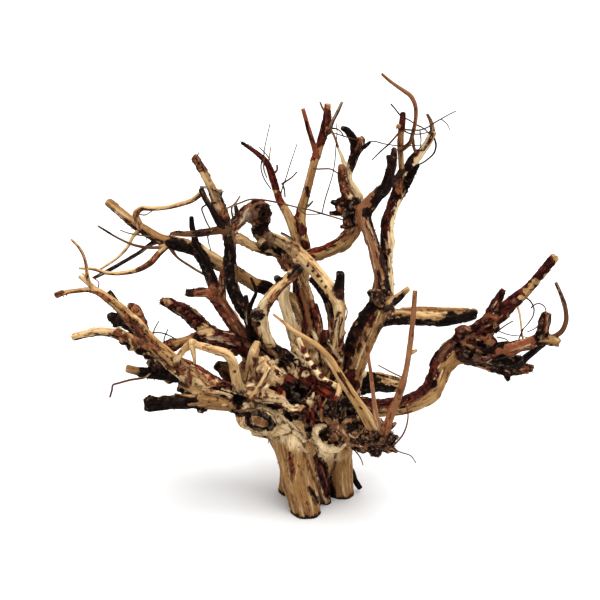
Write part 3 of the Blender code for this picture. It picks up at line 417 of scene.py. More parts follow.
# How each limb is coated: bare wood, bark, the share that bark covers, the side of the sheet that the bark
# is on (None for all round), how gnarled it is in millimetres, and the limbs.
COATS = (
    ("tan", "brown", 0.07, None, 0.2, "core, front lobe, front left lobe, left strand, middle strand,"
     " right lobe, back lobe"),
    ("pale", "maroon", 0.12, None, 0.4, "left shoulder, pale strip, pale swirl, overhang, thin rim"),
    ("straw", "maroon", 0.42, None, 0.9, "left crown, crown brow"),
    ("pale", "maroon", 0.5, None, 0.8, "right shoulder"),
    ("brown", "black", 0.9, None, 0.5, "black twig, leaning stick, black upright, black left twig,"
     " thorn twig, thorn fork, black prong, black side limb, riser bridge, fork stub, prong spike,"
     " prong bridge"),
    ("pale", "rust", 0.3, "up", 0.6, "left arm"),
    ("straw", "brown", 0.5, "down", 0.7, "reaching limb"),
    ("pale", "brown", 0.3, "down", 0.2, "reaching twig, reaching stub, cross twig, pale rootlet,"
     " hanging rootlet, striped stick"),
    ("tan", "dark", 0.62, None, 1.5, "under arm bark, stub knot, stub end knot"),
    ("pale", "dark", 0.18, "down", 0.5, "lower left limb"),
    ("brown", "black", 0.85, None, 1, "black left stubs, black side stub, dark strand"),
    ("tan", "brown", 0.55, None, 1.2, "brown left knob, left flake knot"),
    ("brown", "dark", 0.45, None, 1.2, "brown stub, middle stub knot, middle stub hump"),
    ("brown", "black", 0.7, None, 0.8, "middle left stub"),
    ("tan", "black", 0.5, None, 0.8, "dark left stub"),
    ("pale", "brown", 0.27, None, 0.4, "arched loop, loop spur, loop knot"),
    ("brown", "maroon", 0.72, None, 1, "red knotty limb"),
    ("tan", "maroon", 0.9, None, 1.2, "dark rough stub, rough stub knot"),
    ("copper", "maroon", 0.5, None, 0.7, "red fork"),
    ("copper", "dark", 0.35, None, 0.5, "red fork left, red strand"),
    ("brown", "black", 0.8, None, 0.8, "red fork stem"),
    ("tan", "dark", 0.3, "down", 0.6, "upper left limb"),
    ("brown", "dark", 0.35, None, 0.2, "upper rootlet, lower rootlet, side twig, end twig, arch stub,"
     " tall stem twig, far right twig"),
    ("dark", "black", 0.5, None, 0.2, "dark rootlet"),
    ("brown", "black", 0.75, None, 0.9, "dark upright stem"),
    ("copper", "dark", 0.45, None, 1.3, "gnarled arch, arch knot"),
    ("pale", "dark", 0.3, None, 0.8, "pale wedge, wedge knot"),
    ("copper", "dark", 0.5, None, 1.4, "cross knots"),
    ("pale", "brown", 0.16, None, 0.3, "long diagonal, diagonal knot"),
    ("copper", "maroon", 0.6, None, 0.8, "red bridge, red edge strand"),
    ("copper", "black", 0.5, None, 0.8, "gap strand"),
    ("brown", "black", 0.8, None, 0.6, "diagonal stub"),
    ("pale", "brown", 0.3, "down", 0.7, "cross bar"),
    ("dark", "black", 0.6, None, 1, "cut knob"),
    ("cream", "brown", 0.14, None, 0.3, "pale rear stem, cream strand, pale prong"),
    ("tan", "maroon", 0.7, "left", 0.8, "red stem"),
    ("straw", "red", 0.35, "left", 0.5, "tall stem"),
    ("copper", "dark", 0.4, None, 0.4, "tall stem prong, tall stem knob"),
    ("straw", "red", 0.25, None, 0.3, "forked stem"),
    ("straw", "red", 0.5, "up", 0.6, "arched branch"),
    ("copper", "black", 0.75, None, 1.4, "burl spike upper, burl spike middle, burl spike lower,"
     " branch burl, branch burl left, branch burl low, branch burl right"),
    ("copper", "maroon", 0.6, None, 0.5, "burl prong"),
    ("copper", "dark", 0.5, None, 0.8, "prong knob"),
    ("tan", "dark", 0.5, "left", 0.9, "right pillar"),
    ("brown", "dark", 0.45, None, 1.5, "pillar knot, pillar crown knot"),
    ("pale", "dark", 0.4, "down", 0.5, "pillar stub"),
    ("hazel", "dark", 0.22, "right", 0.35, "upright fork"),
    ("cream", "maroon", 0.62, "left", 0.7, "far right limb"),
    ("tan", "brown", 0.45, None, 0.4, "left riser"),
    ("hazel", "brown", 0.5, "left", 0.2, "top twig"),
    ("tan", "black", 0.6, "down", 0.8, "level limb"),
    ("brown", "black", 0.7, None, 1, "level limb tip, prong web, rear prong spike, knob spike"),
    ("straw", "black", 0.5, "down", 0.8, "rear stub"),
    ("straw", "maroon", 0.5, "upper left", 0.7, "right arm"),
    ("copper", "maroon", 0.75, None, 1, "arm spur, arm rise, arm knot"),
    ("copper", "dark", 0.65, None, 1.1, "lower prong, rear prong, raised knob, prong knuckle"),
    ("hazel", "dark", 0.66, None, 1.6, "burl neck, burl upper, burl left, burl middle, burl right,"
     " burl end, burl corner, burl bottom, burl top, burl spike right, burl spike low"),
    ("straw", "brown", 0.2, None, 0.2, "long stick, short stick, tall twig bud"),
    ("hazel", "brown", 0.3, None, 0.2, "tall twig"),
    ("hazel", "brown", 0.4, None, 0.1, "thin stick"),
    ("pale", "dark", 0.25, None, 0.6, "eye stub"),
    ("straw", "maroon", 0.3, "down", 0.5, "pale ledge"),
    ("cream", "brown", 0.04, None, 0.2, "collar"),
    ("tan", "maroon", 0.42, None, 0.7, "far middle limb, far middle fork, far right root, far right fork,"
     " far left root, far left fork, far low root"),
)

# The colours by name, as (red, green, blue) on a scale of 255.
COLOURS = {
    "cream": (214, 188, 144), "pale": (190, 154, 106), "straw": (170, 132, 84), "tan": (142, 104, 62),
    "olive": (142, 112, 70), "hazel": (130, 86, 58), "grey": (120, 104, 88), "brown": (84, 52, 34),
    "copper": (128, 66, 42), "rust": (74, 35, 22), "red": (62, 20, 14), "maroon": (46, 17, 14),
    "dark": (30, 18, 14), "black": (13, 8, 7),
}
BARE_COLOURS = {"cream", "pale", "straw", "tan", "olive", "hazel", "grey", "copper"}

SIDES_OF_SHEET = {"right": 0, "up": 90, "upper left": 135, "left": 180, "down": 270}

# Hair rootlets by colour: (depth at the start, depth at the end, thickness at the start, thickness at the
# end, and the places passed on the sheet).
ROOTLETS = {
    "black": (
        (-14, -12, 1.6, 1.2, ((152, 338), (155, 328), (159, 321))),
        (-10, -8, 1.5, 1.1, ((165, 350), (164, 340), (168, 329))),
        (-12, -6, 1.6, 1.3, ((150, 333), (162, 333), (172, 337), (184, 345))),
        (58, 40, 2, 1.3, ((156, 237), (138, 235), (128, 233), (120, 230))),
        (14, -8, 2.2, 1.5, (
            (222, 198), (214, 203), (206, 205), (202, 208), (204, 216), (207, 223), (211, 230))),
        (12, 9, 2.4, 1.6, ((200, 187), (209, 188), (216, 191), (221, 197))),
        (0, 4, 1.5, 1, ((207, 233), (209, 244), (211, 251))),
        (24, 20, 3.2, 2.4, ((293, 241), (287, 236), (281, 233))),
        (66, 60, 1.9, 1.3, ((327, 129), (337, 129), (341, 132), (344, 137))),
        (59, 52, 4.2, 1.6, ((304, 207), (308, 206), (313, 201))),
        (79, 74, 1.4, 0.9, ((264, 158), (264, 153), (267, 137), (270, 124))),
        (76, 66, 1.4, 0.9, ((270, 160), (266, 154), (259, 147))),
        (74, 62, 1.7, 1.2, ((262, 159), (261, 168), (263, 176), (266, 182), (271, 189))),
        (68, 60, 1.5, 0.9, (
            (280, 199), (281, 193), (283, 186), (286, 178), (289, 168), (293, 156), (297, 144))),
        (67, 56, 2.2, 1.4, ((282, 184), (285, 182), (291, 178), (297, 172))),
        (6, 12, 1.6, 1, ((366, 146), (370, 142), (385, 144), (400, 146), (422, 145))),
        (11, -6, 1.6, 1.1, ((363, 141), (350, 138), (334, 133))),
        (8, 40, 1.8, 1.2, (
            (402, 129), (410, 130), (420, 130), (428, 127), (434, 123), (441, 119), (448, 115),
            (456, 111))),
        (36, 30, 1.3, 0.9, ((441, 119), (447, 124), (450, 130))),
        (4, 41, 1.6, 1.5, (
            (391, 104), (396, 110), (401, 116), (409, 120), (415, 124), (423, 128), (430, 134),
            (434, 137))),
        (9, -4, 2.2, 1.5, ((403, 129), (398, 134), (390, 143), (380, 152), (372, 160))),
        (41, 34, 2.2, 1.6, ((433, 135), (436, 145), (434, 153), (428, 159), (420, 164), (416, 165))),
        (14, 20, 1.6, 1.2, ((403, 130), (408, 133), (413, 134), (420, 134), (429, 132))),
        (16, 12, 1.6, 1, ((420, 131), (421, 140), (420, 148))),
        (-12, -24, 1.8, 1.3, ((496, 333), (498, 331), (506, 325), (513, 321))),
        (-17, -30, 1.8, 1.2, (
            (524, 296), (531, 302), (534, 309), (533, 316), (530, 321), (526, 326), (521, 331))),
        (-19, -34, 1.5, 1.1, (
            (531, 308), (534, 305), (539, 303.5), (544, 306), (546, 311), (544, 317), (540, 324),
            (534, 329), (527, 332))),
        (-30, -26, 1.7, 1.3, ((523, 329), (519, 339), (517, 345))),
        (-12, -30, 1.3, 0.9, ((498, 331), (510, 335), (520, 336), (534, 339))),
        (-14, -22, 1.5, 1, ((497, 337), (507, 340), (510, 345))),
        (-90, -84, 1.6, 1, ((388, 447), (400, 452), (411, 456), (416, 463))),
        (-80, -76, 1.5, 1, ((352, 448), (357, 453), (361, 459), (363, 465))),
    ),
    "brown": (
        (-24, -22, 1.7, 1.1, ((100, 294), (98, 288), (99, 283), (92, 277))),
        (-4, 30, 2.4, 2, (
            (150, 374), (146, 377), (130, 380), (119, 383), (113, 385), (112, 390), (110, 397))),
        (48, 36, 1.6, 1.1, ((138, 214), (145, 215), (152, 211))),
        (26, 22, 2.4, 1.6, ((235, 224), (233, 218), (232, 207), (237, 201), (240, 196))),
        (-20, -26, 1.6, 1.2, ((340, 330), (342, 325), (346, 318), (347, 310), (345, 305))),
        (66, 60, 2.4, 1.8, ((326, 116), (325, 112), (322, 107), (320, 102))),
        (65, 40, 2.4, 2.6, ((328, 127), (331, 130), (335, 138), (338, 147), (341, 156))),
        (76, 68, 1.7, 1.2, ((264, 158), (264, 170), (267, 178))),
        (74, 70, 2.6, 2, ((270, 176), (273, 174), (277, 170), (277, 165))),
        (68, 72, 2.2, 1.6, ((283, 186), (284, 188), (285, 197))),
        (15, 15, 1.9, 1.6, (
            (224, 210), (232, 206), (240, 203), (250, 199.5), (260, 199.5), (270, 201), (280, 203),
            (290, 205.5), (300, 208), (310, 210), (320, 213), (330, 216), (340, 219), (352, 222))),
        (15, 60, 1.3, 1, ((296, 207), (306, 214), (320, 214))),
        (15, -20, 1.3, 0.9, (
            (322, 213), (325, 200), (329, 187), (333, 173), (335, 160), (336, 145), (337, 130),
            (336, 123))),
        (62, 11, 1.8, 1.4, ((313, 168), (317, 169), (330, 169), (336, 172), (342, 176))),
        (20, 16, 3.2, 3, ((412, 134), (413, 140), (414, 148), (416, 153))),
        (-92, -96, 2.2, 1.4, ((393, 446), (395, 444), (402, 436), (407, 424), (408, 413), (406, 404))),
        (-104, -90, 1.8, 1.3, ((405, 380), (403, 378), (391, 372), (378, 365))),
    ),
    "pale": (
        (-66, -64, 4.2, 1.8, ((92, 286), (90, 282), (82, 273))),
        (-16, -28, 2.4, 2, ((516, 303), (519, 311), (521, 325), (522, 335), (524, 343))),
        (74, 66, 1.5, 1, ((269, 160), (270, 152), (271, 146))),
        (-6, 8, 1.4, 0.9, ((274, 432), (270, 436), (268, 444))),
    ),
}

# Knobs that stand on the skin, too small for the plain solid: (across, down, diameter).
KNOBS = (
    (243, 271, 5), (277, 278, 6), (219, 193, 8), (390, 437, 8), (396, 438, 5.5), (515, 301, 7),
    (521, 298, 6), (490, 344, 10), (460, 333, 10), (468, 330, 9), (396, 186, 8), (398.5, 126, 6),
    (478, 325, 8), (123, 341, 8), (131, 347, 9), (139, 351, 9), (147, 355, 9), (349, 421, 13),
    (356, 431, 13), (366, 446, 12), (352, 441, 12), (371, 425, 9), (343, 402, 12), (338, 419, 11),
    (381, 440, 8), (376, 433, 7), (363, 412, 8), (352, 410, 8), (246, 215, 11), (240, 221, 8),
    (252, 219, 11), (257, 213, 12), (262, 228, 11), (266, 207, 9), (247, 209, 8), (259, 204, 8),
    (265, 208, 8), (267, 215, 7), (261, 221, 8), (256, 225, 8), (259, 232, 9), (266, 235, 8), (272, 240, 7),
    (262, 242, 8), (287, 247, 8), (295, 252, 9), (289, 259, 9), (284, 252, 7), (296, 260, 7), (256, 312, 8),
    (251, 320, 7), (256, 324, 6), (371, 293, 8), (376, 299, 8), (136, 309, 9), (131, 306, 7), (141, 316, 7),
    (134, 318, 8), (112, 316, 9), (116, 324, 7), (150, 363, 8), (158, 361, 8), (466, 352, 8), (476, 357, 9),
    (487, 351, 8), (497, 361, 9), (506, 371, 8), (541, 336, 8), (556, 341, 8), (542, 322, 7), (500, 307, 7),
    (493, 317, 8), (340, 201, 7), (350, 198, 8), (345, 212, 9), (350, 222, 8), (357, 208, 9), (356, 219, 7),
    (362, 373, 8), (371, 378, 8), (233, 405, 9), (240, 400, 8), (229, 398, 7), (310, 402, 9), (200, 329, 8),
    (191, 317, 8), (180, 309, 8), (170, 303, 7),
)

# Raised strands that lie on the skin, by wood and bark colour: (thickness, the places passed on the sheet).
RIDGES = {
    ("cream", "maroon"): (
        (6, ((292, 343), (298, 356), (302, 370), (304, 384))),
        (5, ((313, 330), (318, 344), (325, 358), (331, 366))),
        (4, ((304, 346), (310, 360), (316, 374), (326, 381))),
        (3, ((312, 380), (322, 381), (331, 383), (339, 386))), (5, ((329, 341), (335, 350), (341, 360))),
        (4, ((256, 372), (262, 366), (270, 363), (278, 366), (284, 373))),
        (4, ((254, 394), (262, 384), (271, 375), (281, 370))), (4, ((262, 392), (270, 383), (279, 377))),
        (4, ((288, 366), (292, 376), (294, 388))), (5, ((246, 388), (256, 383), (266, 379))),
        (4, ((246, 424), (253, 431), (263, 434), (273, 431), (277, 424))),
        (4, ((252, 434), (268, 437), (283, 441), (300, 448), (318, 456), (335, 459), (351, 451))),
        (4, ((276, 413), (288, 421), (300, 431), (308, 440))), (5, ((258, 405), (268, 411), (276, 416)))),
    ("tan", "maroon"): (
        (6, ((262, 389), (274, 394), (286, 400), (300, 408))), (4, ((236, 396), (246, 392), (256, 390))),
        (4, ((358, 352), (361, 338), (368, 324))), (4, ((365, 356), (367, 342), (374, 326), (379, 312))),
        (3, ((352, 368), (356, 354), (358, 342))), (4, ((120, 337), (134, 344), (148, 352), (160, 359))),
        (4, ((402, 309), (424, 308), (446, 309), (468, 309)))),
    ("copper", "maroon"): (
        (8, ((318, 388), (325, 393), (331, 397), (337, 390))), (6, ((311, 402), (314, 412), (312, 424))),
        (5, ((320, 402), (323, 412), (322, 420))), (6, ((283, 378), (279, 388), (284, 396))),
        (5, ((455, 331), (464, 327), (472, 331))), (5, ((485, 318), (491, 314), (498, 318))),
        (4, ((481, 329), (490, 324), (502, 315))), (4, ((440, 360), (446, 351), (452, 345))),
        (5, ((302, 292), (306, 306), (309, 322), (314, 336))), (4, ((212, 285), (220, 299), (231, 316))),
        (3, ((112, 333), (126, 338), (140, 345), (155, 352))), (3.4, ((180, 361), (192, 369), (204, 379))),
        (4, ((344, 240), (352, 234), (357, 226))), (3, ((383, 232), (387, 246), (388, 262)))),
    ("brown", "black"): (
        (4, ((321, 437), (326, 444), (334, 446), (341, 442), (343, 434), (337, 429), (329, 430))),
        (4, ((348, 418), (355, 412), (364, 414), (369, 421))),
        (4, ((352, 428), (360, 424), (368, 428), (372, 436))),
        (4, ((356, 440), (364, 437), (372, 442), (380, 438))), (5, ((372, 428), (382, 434), (390, 441))),
        (4, ((340, 408), (346, 403), (352, 402))), (3, ((377, 446), (386, 449), (395, 446))),
        (5, ((238, 226), (243, 219), (246, 211), (252, 207))),
        (5, ((250, 219), (255, 213), (254, 206), (260, 203))),
        (5, ((266, 208), (268, 216), (262, 222), (257, 218))), (5, ((259, 226), (263, 231), (257, 236))),
        (5, ((267, 234), (273, 239), (268, 244))),
        (4, ((283, 249), (290, 246), (297, 251), (293, 259), (285, 262))),
        (5, ((462, 342), (472, 348), (482, 352))), (4, ((486, 340), (492, 346), (490, 354))),
        (4, ((500, 352), (508, 357), (516, 353))), (4, ((470, 352), (480, 360), (492, 363))),
        (3, ((236, 410), (248, 411), (262, 411), (272, 416), (276, 424)))),
}

# Hollows that rot has left in the skin: (across, down, diameter).
ROT = (
    (252, 420.5, 12), (257, 421.5, 14), (262, 422.5, 14), (266, 423.5, 13), (268, 424.5, 11), (274, 406, 6),
    (269, 405, 5), (241, 398, 8), (296, 402, 13), (302, 394, 14), (290, 394, 12), (298, 388, 12),
    (286, 415, 7), (296, 417, 8), (291, 418, 7), (309, 430, 8), (309, 438, 6), (308, 421, 7),
    (324, 435, 10), (327, 439, 8), (329, 410, 9), (322, 399, 6), (318, 409, 6), (262, 368, 4),
    (283, 372, 5), (362, 418, 7), (376, 440, 6), (358, 439, 7), (367, 434, 7), (349, 413, 7), (384, 443, 5),
    (356, 448, 6), (345, 428, 7), (339, 410, 7), (248, 400, 6), (268, 389, 5), (251, 214, 5), (262, 214, 5),
    (268, 226, 5), (254, 230, 4), (291, 253, 4), (290, 262, 4), (478, 344, 7), (470, 340, 6), (484, 334, 5),
    (500, 346, 5), (491, 357, 5), (346, 206, 4), (352, 214, 5), (320, 366, 6), (309, 352, 5), (297, 350, 5),
    (325, 345, 6), (323, 332, 5), (287, 356, 5), (276, 352, 5), (336, 372, 6), (169, 348, 4), (365, 376, 5),
    (235, 372, 6), (244, 376, 5), (226, 384, 6), (240, 362, 5), (270, 345, 5),
)

# Furrows cut in the skin: (width, the places passed on the sheet).
FURROWS = (
    (3, ((283, 448), (286, 466), (290, 486), (293, 508))), (3, ((310, 486), (314, 494), (317, 504))),
    (9, ((319, 457), (321, 470), (325, 484), (329, 498))), (2.2, ((304, 452), (308, 472), (311, 486))),
    (2.2, ((292, 452), (295, 474), (299, 500), (301, 514))), (2.2, ((338, 462), (338, 478), (338, 494))),
    (2.4, ((347, 458), (346, 474), (345, 492))), (2.2, ((276, 446), (282, 468), (286, 490))),
    (3, ((280, 408), (290, 412), (302, 415))), (3, ((268, 403), (275, 406), (282, 408))),
    (2.4, ((262, 378), (271, 370), (279, 367))), (2.4, ((266, 386), (275, 379), (284, 374))),
    (3, ((296, 344), (304, 360), (307, 378))), (3, ((308, 340), (314, 354), (322, 366))),
    (3, ((286, 362), (289, 376), (289, 390))), (3, ((332, 372), (338, 384), (345, 396))),
    (2.4, ((294, 292), (299, 308), (303, 326))), (2.4, ((362, 350), (365, 338), (372, 322))),
    (2.4, ((356, 360), (359, 344), (364, 330))), (2.2, ((400, 314), (420, 318), (440, 318), (452, 313))),
    (2.4, ((116, 335), (130, 342), (146, 350), (160, 358))), (2.4, ((170, 368), (184, 378), (200, 388))),
    (2.4, ((306, 182), (307, 190), (305, 200))), (2.4, ((346, 176), (349, 188), (352, 198))),
    (3, ((444, 356), (454, 346), (466, 342))), (3, ((486, 324), (496, 318), (508, 308))),
    (3, ((312, 402), (306, 410), (303, 404))), (2.4, ((280, 432), (292, 438), (304, 445))),
    (2.2, ((205, 196), (212, 208), (218, 220))), (2.4, ((376, 300), (372, 312), (368, 318))),
)

# Tangles of fine strands: (across, down, reach, how many, heading in degrees, pairs of wood and bark
# colours).
TANGLES = (
    (312, 360, 16, 34, 112, (("pale", "maroon"), ("tan", "black"), ("copper", "maroon"))),
    (298, 374, 14, 22, 100, (("cream", "black"), ("pale", "maroon"))),
    (268, 374, 16, 26, 60, (("pale", "brown"), ("tan", "black"), ("tan", "maroon"))),
    (270, 398, 14, 20, 165, (("cream", "brown"), ("tan", "maroon"))),
    (316, 402, 14, 26, 80, (("copper", "maroon"), ("tan", "black"), ("cream", "maroon"))),
    (336, 384, 10, 14, 60, (("tan", "black"), ("copper", "maroon"))),
    (334, 424, 14, 20, 40, (("tan", "black"), ("copper", "black"), ("cream", "brown"))),
    (364, 426, 20, 46, 20, (("tan", "black"), ("hazel", "dark"), ("copper", "black"))),
    (254, 222, 14, 24, 60, (("tan", "black"), ("copper", "dark"), ("grey", "black"))),
    (276, 244, 12, 16, 150, (("pale", "black"), ("grey", "black"))),
    (246, 360, 10, 12, 70, (("cream", "maroon"), ("tan", "maroon"))),
    (330, 344, 9, 16, 80, (("cream", "black"), ("copper", "maroon"))),
    (242, 396, 8, 10, 150, (("tan", "maroon"), ("cream", "black"))),
    (190, 392, 12, 14, 150, (("tan", "black"), ("pale", "brown"))),
    (480, 340, 18, 30, 30, (("copper", "black"), ("copper", "maroon"), ("tan", "black"))),
    (136, 346, 12, 14, 145, (("tan", "brown"), ("pale", "maroon"))),
)

